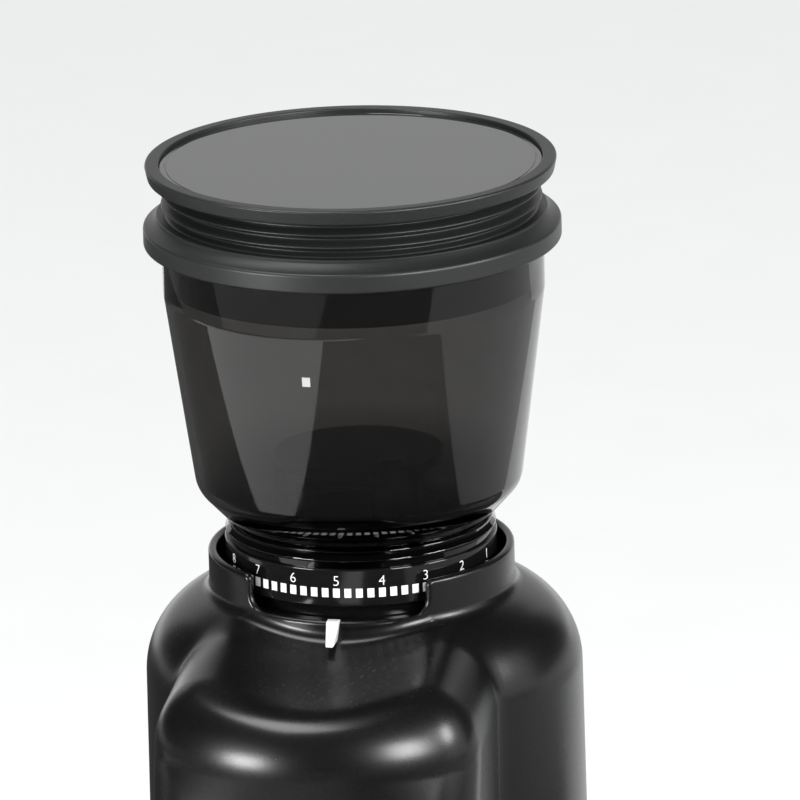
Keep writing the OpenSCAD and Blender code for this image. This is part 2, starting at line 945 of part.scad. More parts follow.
// Places of the feet
function foot_points() = [
    [-38, 32], [38, 32], [-30, -(front_reach - 20)], [30, -(front_reach - 20)]
];
foot_radius = 8;
foot_sunk = 1.5;

module base() {
    plinth = 2;
    plinth_inset = 2;
    tray = 2.5;
    color("#1c1c1d") at_axis()
        difference() {
            union() {
                difference() {
                    union() {
                        translate([0, 0, z_base])
                            linear_extrude(height = plinth)
                                base_plan(plinth_inset);
                        translate([0, 0, z_base + plinth])
                            linear_extrude(height = base_height - plinth)
                                base_plan(0);
                    }
                    translate([0, 0, z_base + foot_sunk + tray])
                        linear_extrude(height = base_height - foot_sunk - 2 * tray)
                            base_plan(plinth_inset + tray);
                    translate([0, 0, z_base + foot_sunk + tray])
                        linear_extrude(height = base_height)
                            difference() {
                                circle(r = column_radius - wall - 1.5);
                                translate([0, -cup_reach])
                                    circle(r = bay_radius + wall + 1.5);
                            }
                }
                around(base_boss_reach, base_boss_angles)
                    translate([0, 0, z_base + 1])
                        cylinder(r = boss_radius, h = base_height - 1);
            }
            around(base_boss_reach, base_boss_angles)
                translate([0, 0, z_base]) {
                    screw_hole(large_screw[0] + hole_gap, base_height + 1);
                    screw_hole(large_screw[1] + hole_gap, large_screw[2] + 1);
                }
            for (p = foot_points())
                translate([p[0], p[1], z_base - 1])
                    cylinder(r = foot_radius + fit_gap, h = foot_sunk + 1);
        }
}

module feet() {
    color("#232324") at_axis()
        for (p = foot_points())
            translate(p)
                rotate_extrude()
                    disc_section(foot_radius, 0, foot_height + foot_sunk, 0.6);
}

module grounds_cup() {
    foot = cup_radius - 4;
    floor_height = 2.5;
    bead = 1.2;
    color([0.25, 0.24, 0.23, 0.5]) at_axis()
        translate([0, -cup_reach, 0])
            rotate_extrude()
                difference() {
                    union() {
                        polygon([
                            [0, z_deck],
                            [foot, z_deck],
                            [cup_radius - 1, cup_top - bead],
                            [0, cup_top - bead]
                        ]);
                        translate([0, cup_top - 2 * bead])
                            square([cup_radius - bead, 2 * bead]);
                        translate([cup_radius - bead, cup_top - bead])
                            circle(r = bead);
                    }
                    polygon([
                        [0, z_deck + floor_height],
                        [foot - cup_wall, z_deck + floor_height],
                        [cup_radius - 1 - cup_wall, cup_top + 1],
                        [0, cup_top + 1]
                    ]);
                }
}

module chute() {
    skin = 2;
    half = outlet_half + skin + 1;
    z_foot = z_seam + floor_plate;
    z_roof = z_outlet + outlet_height + skin;
    front = cup_reach + nozzle_radius + 2;
    rear = cup_reach - nozzle_radius - 1.5;
    slope = 12;
    color("#1e1e1f") at_axis()
        difference() {
            union() {
                across(half)
                    polygon([
                        [spout_reach, z_roof],
                        [front - slope, z_roof],
                        [front, z_roof - slope],
                        [front, z_foot],
                        [rear, z_foot],
                        [rear, z_outlet - slope],
                        [spout_reach, z_outlet - skin]
                    ]);
                translate([0, -cup_reach, z_nozzle])
                    cylinder(r = nozzle_radius, h = z_foot - z_nozzle + 1);
            }
            across(outlet_half + 1)
                polygon([
                    [spout_reach - 1, z_roof - skin],
                    [front - slope - 1, z_roof - skin],
                    [front - skin, z_roof - slope - 1],
                    [front - skin, z_foot + skin],
                    [rear + skin, z_foot + skin],
                    [rear + skin, z_outlet - slope + 1],
                    [spout_reach - 1, z_outlet]
                ]);
            translate([0, -cup_reach, z_nozzle - 1])
                cylinder(r = nozzle_radius - skin, h = z_foot - z_nozzle + skin + 2);
        }
}

module grind_chamber() {
    spout = outlet_half + 3;
    z_body = z_cavity - chamber_floor;
    color("#8d9093") at_axis()
        difference() {
            union() {
                translate([0, 0, z_body])
                    cylinder(r = chamber_radius, h = z_chamber_top - z_body);
                translate([0, 0, z_bearing])
                    cylinder(r = bearing_boss, h = bearing_height + 1);
                around(lobe_reach, lobe_angles)
                    translate([0, 0, z_chamber_top - lobe_thick])
                        cylinder(r = lobe_radius, h = lobe_thick);
                translate([-spout, -spout_reach, z_outlet - 2])
                    cube([2 * spout, spout_reach, outlet_height + 4]);
            }
            translate([0, 0, z_cavity])
                cylinder(r = cavity_radius, h = cavity_height + 1);
            difference() {
                translate([0, 0, z_spring])
                    cylinder(r = carrier_radius + run_gap, h = z_sleeve - z_spring + 1);
                for (i = [0 : key_count - 1])
                    rotate([0, 0, 90 + i * 360 / key_count])
                        translate([carrier_radius - key_depth + 2 * run_gap, -key_width / 2, z_carrier + 3])
                            cube([key_depth + 1, key_width, z_sleeve - z_carrier - 3]);
            }
            translate([0, 0, z_sleeve])
                cylinder(r = sleeve_radius + run_gap, h = upper_height);
            translate([0, 0, z_body - 1])
                cylinder(r = seal_radius + fit_gap, h = seal_height + 1);
            translate([0, 0, z_body])
                cylinder(r = spindle_shoulder + run_gap, h = chamber_floor + 1);
            translate([0, 0, z_bearing - 1])
                cylinder(r = bearing_radius + fit_gap, h = bearing_height + 1);
            translate([-outlet_half, -spout_reach - 1, z_outlet])
                cube([2 * outlet_half, spout_reach - cavity_radius + 8, outlet_height]);
            around(lobe_reach, lobe_angles)
                translate([0, 0, z_chamber_top - lobe_thick - 1])
                    screw_hole(small_screw[0] + hole_gap, lobe_thick + 2);
        }
}

module burr_carrier() {
    seat_lip = 2;
    z_lip = z_carrier + ring_burr_height;
    color("#7f8285") at_axis()
        difference() {
            rotate_extrude()
                polygon([
                    [ring_burr_radius + fit_gap, z_carrier],
                    [carrier_radius, z_carrier],
                    [carrier_radius, z_carrier + carrier_height],
                    [carrier_radius - 1.5, z_carrier + carrier_height],
                    [throat_radius, z_lip + seat_lip],
                    [throat_radius, z_lip],
                    [ring_burr_radius + fit_gap, z_lip]
                ]);
            for (i = [0 : key_count - 1])
                rotate([0, 0, 90 + i * 360 / key_count])
                    translate([carrier_radius - key_depth, -key_width / 2 - run_gap, z_carrier - 1])
                        cube([key_depth + 1, key_width + 2 * run_gap, z_sleeve - z_carrier + 3]);
        }
}

// Slanted grooves round the axis, one at each step
module flutes(count, reach, z0, height, deep, wide, slant) {
    for (i = [0 : count - 1])
        rotate([0, 0, i * 360 / count])
            translate([reach, 0, z0 + height / 2])
                rotate([slant, 0, 0])
                    cube([2 * deep, wide, height], center = true);
}

module ring_burr() {
    grind_radius = cone_radius + burr_gap;
    nip_radius = grind_radius - grind_band * cone_slope;
    z_nip = z_carrier + grind_band;
    color("#b9bcc0") at_axis()
        difference() {
            rotate_extrude()
                polygon([
                    [grind_radius, z_carrier],
                    [ring_burr_radius, z_carrier],
                    [ring_burr_radius, z_carrier + ring_burr_height],
                    [throat_radius, z_carrier + ring_burr_height],
                    [nip_radius, z_nip]
                ]);
            flutes(coarse_flutes, throat_radius, z_nip, 2 * ring_burr_height, 1.6, 4, ring_slant);
        }
}

module cone_burr() {
    z_tip = z_cone + cone_burr_height;
    mid_radius = (cone_radius + cone_top_radius) / 2;
    lean = atan(cone_slope);
    color("#c2c5c9") at_axis()
        difference() {
            rotate_extrude()
                polygon([
                    [spindle_radius + fit_gap, z_cone],
                    [cone_radius, z_cone],
                    [cone_radius, z_cone + 1],
                    [cone_top_radius, z_tip],
                    [spindle_radius + fit_gap, z_tip]
                ]);
            for (i = [0 : coarse_flutes - 1])
                rotate([0, 0, i * 360 / coarse_flutes])
                    translate([mid_radius + 1, 0, z_cone + cone_burr_height / 2 + 4])
                        rotate([-28, -lean, 0])
                            cube([5, 5, cone_burr_height * 1.3], center = true);
            for (i = [0 : fine_flutes - 1])
                rotate([0, 0, i * 360 / fine_flutes])
                    translate([cone_radius - 0.6, 0, z_cone + 3])
                        rotate([-20, -lean, 0])
                            cube([1.4, 1, grind_band * 2], center = true);
        }
}

module burr_nut() {
    color("#c8cacc") at_axis()
        translate([0, 0, z_cone + cone_burr_height])
            difference() {
                cylinder(r = spindle_radius * 1.85, h = 6, $fn = 6);
                translate([0, 0, -1])
                    cylinder(r = spindle_radius + fit_gap, h = 8);
            }
}

module impeller() {
    hub = 11;
    vane = 2.4;
    z_impeller = z_cavity + 2;
    color("#d9d6cc") at_axis()
        difference() {
            union() {
                translate([0, 0, z_impeller])
                    cylinder(r = impeller_radius, h = impeller_plate);
                translate([0, 0, z_impeller])
                    cylinder(r = hub, h = z_cone - z_impeller);
                for (i = [0 : vane_count - 1])
                    rotate([0, 0, i * 360 / vane_count])
                        translate([hub - 1, -vane / 2, z_impeller])
                            cube([impeller_radius - hub, vane, vane_height]);
            }
            translate([0, 0, z_impeller - 1])
                cylinder(r = spindle_radius + fit_gap, h = upper_height);
        }
}

// Wavy flat ring as rings of four corners
module wave_spring() {
    inner = ring_burr_radius + 1.2;
    outer = carrier_radius - 0.6;
    strip = 0.6;
    steps = 60;
    waves = 4;
    swing = spring_height / 2 - strip / 2 - 0.05;
    function corner(i, r, up) = [
        r * cos(i * 360 / steps),
        r * sin(i * 360 / steps),
        z_spring + spring_height / 2 + swing * cos(waves * i * 360 / steps) + up * strip / 2
    ];
    points = [
        for (i = [0 : steps - 1])
            for (c = [[inner, -1], [outer, -1], [outer, 1], [inner, 1]])
                corner(i, c[0], c[1])
    ];
    function at(i, k) = (i % steps) * 4 + k % 4;
    color("#aeb1b4") at_axis()
        polyhedron(points, [
            for (i = [0 : steps - 1])
                for (k = [0 : 3])
                    for (half = [0, 1])
                        half == 0
                            ? [at(i, k), at(i + 1, k), at(i + 1, k + 1)]
                            : [at(i, k), at(i + 1, k + 1), at(i, k + 1)]
        ]);
}

module spindle() {
    z_shoulder_foot = z_cavity - chamber_floor;
    color("#c4c7ca") at_axis() {
        translate([0, 0, z_lower_bearing])
            cylinder(r = spindle_radius, h = z_cone + cone_burr_height + 7 - z_lower_bearing);
        translate([0, 0, z_shoulder_foot])
            cylinder(r = spindle_shoulder, h = z_cavity + 2 - z_shoulder_foot);
    }
}

// Ball bearing with a groove between its rings
module bearing(z0) {
    groove = 0.7;
    mid = (bearing_radius + spindle_radius) / 2;
    at_axis()
        difference() {
            ring(bearing_radius, spindle_radius + fit_gap, z0, z0 + bearing_height);
            for (z = [z0, z0 + bearing_height])
                ring(mid + 1.6, mid - 1.6, z - groove, z + groove);
        }
}

module upper_bearing() {
    color("#bfc2c5")
        bearing(z_bearing);
}

module lower_bearing() {
    color("#bfc2c5")
        bearing(z_lower_bearing);
}

module shaft_seal() {
    z_seal = z_cavity - chamber_floor;
    color("#202020") at_axis()
        ring(seal_radius, spindle_shoulder + fit_gap, z_seal, z_seal + seal_height);
}

module gear_plate() {
    color("#9a9da0") at_axis()
        difference() {
            union() {
                translate([0, 0, z_gear_plate])
                    cylinder(r = plate_round, h = plate_thick);
                around(pillar_reach, pillar_angles)
                    translate([0, 0, z_gear_plate])
                        cylinder(r = 6, h = plate_thick);
                for (p = posts)
                    translate([p[0], p[1], z_gear_plate])
                        cylinder(r = post_radius, h = z_bridge - z_gear_plate);
                translate([0, 0, z_lower_bearing])
                    cylinder(r = bearing_boss, h = z_gear_top - z_lower_bearing);
                translate([idler_x, idler_y, z_gear_plate])
                    cylinder(r = idler_pin_radius + 2, h = z_stage_one - run_gap - z_gear_plate);
            }
            translate([0, 0, z_lower_bearing - 1])
                cylinder(r = bearing_radius + fit_gap, h = bearing_height + 1);
            translate([0, 0, z_gear_plate])
                cylinder(r = bearing_radius - 2, h = plate_thick + 1);
            translate([idler_x, idler_y, z_gear_plate - 1])
                cylinder(r = idler_pin_radius + fit_gap, h = 10);
            translate([0, motor_y, z_gear_plate - 1]) {
                cylinder(r = 7, h = plate_thick + 2);
                around(motor_bolt, motor_bolt_angles)
                    screw_hole(small_screw[0] + hole_gap, plate_thick + 2);
            }
            around(pillar_reach, pillar_angles)
                translate([0, 0, z_gear_plate - 1])
                    screw_hole(large_screw[0] + hole_gap, plate_thick + 2);
            for (p = posts)
                translate([p[0], p[1], z_bridge - 12])
                    screw_hole(small_screw[0] + fit_gap, 13);
        }
}

module gear_bridge() {
    span = posts[1] - posts[0];
    middle = (posts[0] + posts[1]) / 2;
    width = 20;
    color("#9a9da0") at_axis()
        difference() {
            union() {
                translate([middle[0], middle[1], z_bridge])
                    rotate([0, 0, atan2(span[1], span[0])])
                        translate([-norm(span) / 2, -width / 2, 0])
                            cube([norm(span), width, bridge_thick]);
                for (p = posts)
                    translate([p[0], p[1], z_bridge])
                        cylinder(r = post_radius + 1, h = bridge_thick);
            }
            translate([idler_x, idler_y, z_bridge - 1])
                cylinder(r = idler_pin_radius + fit_gap, h = bridge_thick + 2);
            for (p = posts)
                translate([p[0], p[1], z_bridge - 1])
                    screw_hole(small_screw[0] + hole_gap, bridge_thick + 2);
            translate([0, 0, z_bridge - 1])
                cylinder(r = spindle_radius + 8, h = bridge_thick + 2);
        }
}

// Involute function of an angle, in degrees
function involute(angle) = tan(angle) * 180 / PI - angle;

// Half of a tooth's angle at a radius
function tooth_half(size, teeth, radius) =
    let (pitch = size * teeth / 2)
    let (base_radius = pitch * cos(pressure_angle))
    let (flank = radius > base_radius ? acos(base_radius / radius) : 0)
    (size * PI / 2 - backlash) / 2 / pitch * 180 / PI + involute(pressure_angle) - involute(flank);

// Outline of an involute spur gear with a tooth on its x axis
module gear_outline(size, teeth) {
    pitch = size * teeth / 2;
    root = pitch - 1.25 * size;
    tip = pitch + 0.95 * size;
    flank_foot = max(root, pitch * cos(pressure_angle));
    radii = [root, flank_foot + 0.001, (flank_foot + pitch) / 2, pitch, (pitch + tip) / 2, tip];
    last = len(radii) - 1;
    polygon([
        for (i = [0 : teeth - 1])
            for (k = [0 : 2 * last + 1])
                let (r = k <= last ? radii[k] : radii[2 * last + 1 - k])
                let (side = k <= last ? -1 : 1)
                polar(r, i * 360 / teeth + side * tooth_half(size, teeth, max(r, flank_foot)))
    ]);
}

module output_gear() {
    hub = 9;
    color("#d8d4c6") at_axis()
        difference() {
            union() {
                rotate([0, 0, angle_to_idler])
                    translate([0, 0, z_stage_two])
                        linear_extrude(height = gear_face)
                            gear_outline(spindle_module, output_teeth);
                translate([0, 0, z_stage_two - 4])
                    cylinder(r = hub, h = gear_face + 6);
            }
            translate([0, 0, z_stage_two - 5])
                cylinder(r = spindle_radius + fit_gap, h = gear_face + 10);
        }
}

module idler_gear() {
    hub = 4.6;
    color("#d8d4c6") at_axis()
        translate([idler_x, idler_y, 0])
            difference() {
                union() {
                    rotate([0, 0, angle_to_motor])
                        translate([0, 0, z_stage_one])
                            linear_extrude(height = gear_face)
                                gear_outline(motor_module, idler_teeth);
                    rotate([0, 0, angle_to_idler + 180 + 180 / idler_pinion_teeth])
                        translate([0, 0, z_stage_one + gear_face - eps])
                            linear_extrude(height = z_stage_two - z_stage_one + 1)
                                gear_outline(spindle_module, idler_pinion_teeth);
                    translate([0, 0, z_stage_two])
                        cylinder(r = hub, h = z_bridge - run_gap - z_stage_two);
                }
                translate([0, 0, z_stage_one - 1])
                    cylinder(r = idler_pin_radius + fit_gap, h = long);
            }
}

module idler_pin() {
    color("#c4c7ca") at_axis()
        translate([idler_x, idler_y, z_gear_plate])
            cylinder(r = idler_pin_radius, h = z_bridge + bridge_thick - z_gear_plate);
}

module motor_pinion() {
    color("#c9b27a") at_axis()
        translate([0, motor_y, z_stage_one])
            difference() {
                rotate([0, 0, angle_to_motor + 180 + 180 / motor_teeth])
                    linear_extrude(height = gear_face)
                        gear_outline(motor_module, motor_teeth);
                translate([0, 0, -1])
                    cylinder(r = shaft_radius + fit_gap, h = gear_face + 2);
            }
}

module rubber_mounts() {
    color("#1f1f20") at_axis()
        around(pillar_reach, pillar_angles)
            ring(pillar_radius, large_screw[0] + hole_gap, z_gear_top, z_gear_top + mount_height);
}

module motor_can() {
    color("#8b8e92") at_axis()
        translate([0, motor_y, 0])
            difference() {
                translate([0, 0, z_motor])
                    cylinder(r = motor_radius, h = motor_length);
                translate([0, 0, z_motor - 1])
                    cylinder(r = motor_radius - can_wall, h = motor_length - can_top + 1);
                translate([0, 0, z_motor])
                    cylinder(r = shaft_radius + fit_gap, h = motor_length + 1);
                around(motor_bolt, motor_bolt_angles)
                    translate([0, 0, z_gear_plate - can_top - 1])
                        screw_hole(small_screw[0] + fit_gap, can_top + 2);
            }
}

module motor_magnets() {
    outer = motor_radius - can_wall - fit_gap;
    gap_half = 6;
    z_rotor = z_motor + 14;
    color("#3a3b3d") at_axis()
        translate([0, motor_y, 0])
            difference() {
                ring(outer, outer - magnet_thick, z_rotor, z_rotor + rotor_length);
                translate([-gap_half, -motor_radius, z_rotor - 1])
                    cube([2 * gap_half, 2 * motor_radius, rotor_length + 2]);
            }
}

module armature() {
    slots = 12;
    slot_depth = 6;
    z_rotor = z_motor + 14;
    color("#9c7d55") at_axis()
        translate([0, motor_y, 0]) {
            translate([0, 0, z_fan])
                cylinder(r = shaft_radius, h = z_stage_one + gear_face - z_fan);
            difference() {
                translate([0, 0, z_rotor])
                    cylinder(r = rotor_radius, h = rotor_length);
                for (i = [0 : slots - 1])
                    rotate([0, 0, i * 360 / slots])
                        translate([rotor_radius - slot_depth, -1, z_rotor - 1])
                            cube([slot_depth + 1, 2, rotor_length + 2]);
            }
            translate([0, 0, z_motor + cap_height + 1])
                cylinder(r = 6.5, h = 7 + eps);
        }
}

module motor_cap() {
    outer = motor_radius - can_wall - fit_gap;
    brush = 4;
    color("#26262a") at_axis()
        translate([0, motor_y, 0])
            difference() {
                union() {
                    translate([0, 0, z_motor - 2])
                        cylinder(r = motor_radius, h = 2);
                    translate([0, 0, z_motor])
                        cylinder(r = outer, h = cap_height);
                    for (side = [-1, 1])
                        translate([side * 13 - 5, -brush, z_motor])
                            cube([10, 2 * brush, cap_height + 7]);
                }
                translate([0, 0, z_motor - 3])
                    cylinder(r = shaft_radius + fit_gap, h = cap_height + 4);
            }
}

module cooling_fan() {
    blades = 9;
    color("#2c2c30") at_axis()
        translate([0, motor_y, z_fan])
            difference() {
                union() {
                    cylinder(r = fan_radius, h = 1.5);
                    cylinder(r = shaft_radius + 3, h = fan_height);
                    for (i = [0 : blades - 1])
                        rotate([0, 0, i * 360 / blades])
                            translate([shaft_radius + 2, -0.6, 0])
                                cube([fan_radius - shaft_radius - 2.5, 1.2, fan_height]);
                }
                translate([0, 0, -1])
                    cylinder(r = shaft_radius + fit_gap, h = fan_height + 2);
            }
}

module switch_body() {
    flange = 1.2;
    color("#18181a") at_axis()
        difference() {
            union() {
                translate([switch_flat, -switch_wide, z_switch - switch_half])
                    cube([flange, 2 * switch_wide, 2 * switch_half]);
                translate([switch_flat - switch_depth, -switch_wide + 1.2, z_switch - switch_half + 1.2])
                    cube([switch_depth, 2 * switch_wide - 2.4, 2 * switch_half - 2.4]);
                for (i = [-1, 0, 1])
                    translate([switch_flat - switch_depth - 7, -2.4, z_switch + i * 6 - 0.4])
                        cube([8, 4.8, 0.8]);
            }
            translate([switch_flat - 6, -switch_wide + 2, z_switch - rocker_half])
                cube([10, 2 * switch_wide - 4, 2 * rocker_half]);
            translate([switch_flat - 1, 0, z_switch])
                rotate([90, 0, 0])
                    cylinder(r = pivot_radius + fit_gap, h = 2 * switch_wide, center = true);
        }
}

// Rocker drawn in side view with its pivot at the origin, off side pressed in
module switch_rocker() {
    tilt = 9;
    crown = 24;
    reach = rocker_half - 1;
    color("#202023") at_axis()
        translate([switch_flat - 1, 0, z_switch])
            rotate([90, 0, 0]) {
                cylinder(r = pivot_radius, h = 2 * switch_wide - 2.6, center = true);
                linear_extrude(height = 2 * switch_wide - 5, center = true)
                    rotate(tilt)
                        difference() {
                            translate([-2.6, -reach])
                                square([4.6, 2 * reach]);
                            translate([crown + 1.2, 0])
                                circle(r = crown);
                        }
            }
}

module control_board() {
    color("#2f6b45") at_axis()
        difference() {
            translate([board_x - board_thick, 0, z_board])
                cube([board_thick, board_width, board_height]);
            for (p = board_points())
                translate([board_x - 5, p[0], p[1]])
                    rotate([0, 90, 0])
                        cylinder(r = small_screw[0] + hole_gap, h = 10);
        }
}

module board_parts() {
    color("#2b2b30") at_axis()
        translate([board_x, 0, z_board]) {
            translate([0, board_width * 0.36, 10])
                cube([9, 14, 8]);
            translate([0, 4, board_height / 2 - 1])
                cube([11, 13, 12]);
            translate([0, board_width - 7, board_height / 2 - 1])
                rotate([0, 90, 0])
                    cylinder(r = 5, h = 13);
            translate([0, board_width / 2 + 5, board_height - 12])
                cube([8, 8, 9]);
        }
}

module cord_gland() {
    flange = 1.8;
    neck = 9;
    color("#1e1e1f") at_axis()
        translate([0, gland_flat, z_gland])
            rotate([90, 0, 0])
                difference() {
                    union() {
                        translate([0, 0, -flange])
                            cylinder(r = gland_radius, h = flange);
                        cylinder(r = gland_radius - 2, h = neck);
                    }
                    translate([0, 0, -flange - 1])
                        cylinder(r = gland_bore, h = neck + flange + 2);
                }
}

module base_screws() {
    color("#b4b7ba") at_axis()
        around(base_boss_reach, base_boss_angles)
            translate([0, 0, z_base + large_screw[2] + 1])
                screw(large_screw, base_height + 6);
}

module seam_screws() {
    color("#b4b7ba") at_axis()
        around(seam_boss_reach, seam_boss_angles)
            translate([0, 0, z_seam - seam_lug])
                screw(small_screw, seam_lug + 10);
}

module chamber_screws() {
    color("#b4b7ba") at_axis()
        around(lobe_reach, lobe_angles)
            translate([0, 0, z_chamber_top - lobe_thick])
                screw(small_screw, lobe_thick + 2.6);
}

module plate_screws() {
    color("#b4b7ba") at_axis()
        around(pillar_reach, pillar_angles)
            translate([0, 0, z_gear_plate])
                screw(large_screw, plate_thick + mount_height + 11);
}

module bridge_screws() {
    color("#b4b7ba") at_axis()
        for (p = posts)
            translate([p[0], p[1], z_bridge + bridge_thick])
                mirror([0, 0, 1])
                    screw(small_screw, bridge_thick + 9);
}

module motor_screws() {
    color("#b4b7ba") at_axis()
        translate([0, motor_y, z_gear_top])
            around(motor_bolt, motor_bolt_angles)
                mirror([0, 0, 1])
                    screw(small_screw, plate_thick + can_top);
}

module floor_screws() {
    color("#b4b7ba") at_axis()
        for (side = [-1, 1])
            translate([side * floor_boss_x, -floor_boss_reach, z_seam])
                screw(small_screw, floor_plate + 9);
}

module board_screws() {
    color("#b4b7ba") at_axis()
        for (p = board_points())
            translate([board_x, p[0], p[1]])
                rotate([0, -90, 0])
                    screw(small_screw, board_thick + 7);
}

pump_plate();
pump_inlay();
bellows();
lid_base();
hopper();
bean_guard();
dial_ring();
pointer();
upper_housing();
hump_floor();
lower_housing();
base();
feet();
grounds_cup();
chute();
grind_chamber();
burr_carrier();
ring_burr();
cone_burr();
burr_nut();
impeller();
wave_spring();
spindle();
upper_bearing();
lower_bearing();
shaft_seal();
gear_plate();
gear_bridge();
output_gear();
idler_gear();
idler_pin();
motor_pinion();
rubber_mounts();
motor_can();
motor_magnets();
armature();
motor_cap();
cooling_fan();
switch_body();
switch_rocker();
control_board();
board_parts();
cord_gland();
base_screws();
seam_screws();
chamber_screws();
plate_screws();
bridge_screws();
motor_screws();
floor_screws();
board_screws();
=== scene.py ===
"""Electric burr coffee grinder: the visible skins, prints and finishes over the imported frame."""
import math

import bpy
import numpy as np
from mathutils import Matrix, Vector


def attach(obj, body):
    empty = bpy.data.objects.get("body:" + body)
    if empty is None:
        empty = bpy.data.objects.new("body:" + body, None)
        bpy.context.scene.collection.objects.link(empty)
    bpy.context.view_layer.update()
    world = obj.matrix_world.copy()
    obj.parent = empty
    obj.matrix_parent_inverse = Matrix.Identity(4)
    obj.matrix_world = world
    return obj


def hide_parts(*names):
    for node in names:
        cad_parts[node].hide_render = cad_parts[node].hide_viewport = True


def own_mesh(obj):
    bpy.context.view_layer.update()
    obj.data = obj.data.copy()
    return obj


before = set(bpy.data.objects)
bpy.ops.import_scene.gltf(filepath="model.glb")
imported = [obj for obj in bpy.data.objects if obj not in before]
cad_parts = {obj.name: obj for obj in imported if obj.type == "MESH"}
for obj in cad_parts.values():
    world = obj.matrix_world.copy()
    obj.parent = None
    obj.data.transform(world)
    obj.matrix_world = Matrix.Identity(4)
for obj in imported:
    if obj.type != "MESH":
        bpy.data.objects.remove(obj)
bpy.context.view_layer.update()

# Sizes in millimetres: heights above the table, reaches from the hopper's axis
MM = 0.001
AXIS_Y = 19.5
AXIS = (0, AXIS_Y * MM, 0)
# Reach of a disc's middle, just off the axis
POLE = 0.001
Z_SEAM = 128.0
Z_COLLAR = 249.0
Z_DIAL = 252.5
Z_MOUTH = 337.8
Z_SEAT = 346.5
Z_PLATE = 356.8
Z_TOP = 361.0

# Upper housing: column and shoulder
WALL = 2.8
COLUMN_R = 63.5
COLUMN_DRAFT = 1.7
Z_DECK = 14.0
Z_SHOULDER = 212.6
SHOULDER_R = 25.0

# Hump, whose front is nearly flat at the seam and bows more towards the brow
HUMP_HALF = 45.8
HUMP_FRONT = 98.5
HUMP_CORNER = 20.0
SEAM_BOW_R = 2000.0
BROW_BOW_R = 61.0
BOW_HEIGHT = 82.0
HUMP_CHEEK = 19.2
HUMP_BACK = 30.0
HUMP_FALL = math.radians(6)
HUMP_CROWN_R = 800.0
Z_HUMP = Z_COLLAR - 12.8
HUMP_BLEND = 2.0

# Scoop, a shallow dish in the hump's top
SCOOP_AT = 65.0
SCOOP_FALL = 0.148
SCOOP_LONG_R = 122.0
SCOOP_CROSS_R = 110.0
SCOOP_BACK = 35.0
SCOOP_SOFT = 5.0
Z_SCOOP = Z_COLLAR - 20.65

# Collar and the window in its front
COLLAR_R = 43.2
COLLAR_WALL = 2.5
COLLAR_FOOT = 2.6
WINDOW_HALF = 27.2
WINDOW_DEPTH = 10.2
WINDOW_CORNER = 5.0
WINDOW_EASE = 2.0
# Degrees to each side that the window's columns of points take up below the collar
WINDOW_SPREAD = 47

# Rays from the axis that find the housing's skin
Z_RAYS = 200.0
RAY_NEAR = 15.0
RAY_FAR = 170.0
RAY_HALVINGS = 44

# Hopper
HOPPER_WALL = 2.4
MOUTH_R = 53.5
BOWL_R = 45.2
NECK_R = 36.8
Z_BOWL = Z_DIAL + 13.7
Z_STRAIGHT = Z_MOUTH - 14.4
BOWL_LEAN = math.atan2(MOUTH_R - BOWL_R, Z_STRAIGHT - Z_BOWL)

# Dial and its print, steps and turns in degrees
DIAL_R = 38.4
DIAL_HEIGHT = 10.9
SLEEVE_R = 35.0
SLEEVE_BORE = 31.3
Z_SLEEVE = 219.7
PRINT_RISE = 0.06
PRINT_TURN = 0.3
NUMERAL_HEIGHT = 2.8
NUMERAL_STEP = 19.2
LAST_NUMERAL = 8
FRONT_NUMERAL = 5
Z_NUMERALS = Z_COLLAR - 1.2
TICK_STEP = 4.8
TICK_SIZE = (1.9, 2.6)
Z_TICKS = Z_COLLAR - 3.3

# Wave spring under the burr carrier
Z_SPRING = 206.0
SPRING_HEIGHT = 3.9
SPRING_STRIP = 0.6
SPRING_WAVES = 4

# Camera: turn to the right of the front, rise and roll, place to the right of, over and behind the
# collar's middle as the lens looks
CAMERA_SWING = math.radians(11.0)
CAMERA_RISE = math.radians(16.555)
CAMERA_ROLL = math.radians(-1.543)
CAMERA_PLACE = (12.011, 39.332, 2561.264)
CAMERA_LENS = 408.34
CAMERA_SENSOR = 36


def at_axis(x, forward, z):
    """World point in metres from a place given by the hopper's axis."""
    return Vector((x * MM, (AXIS_Y - forward) * MM, z * MM))


def arc(centre, radius, start, end, count=8):
    """Points of an arc in a half section, angles in degrees from the outward direction."""
    return [
        (centre[0] + radius * math.cos(math.radians(a)), centre[1] + radius * math.sin(math.radians(a)))
        for a in np.linspace(start, end, count + 1)
    ]


def begin(name):
    """Names the primitive just added and opens it for editing."""
    piece = bpy.context.object
    piece.name = piece.data.name = name
    bpy.ops.object.mode_set(mode="EDIT")
    return piece


def close(piece, angle=35):
    """Leaves edit mode, fixes the place in the mesh and shades it smooth up to an angle."""
    bpy.ops.object.mode_set(mode="OBJECT")
    bpy.ops.object.transform_apply(location=True, rotation=True, scale=True)
    bpy.ops.object.shade_smooth_by_angle(angle=math.radians(angle))
    return piece


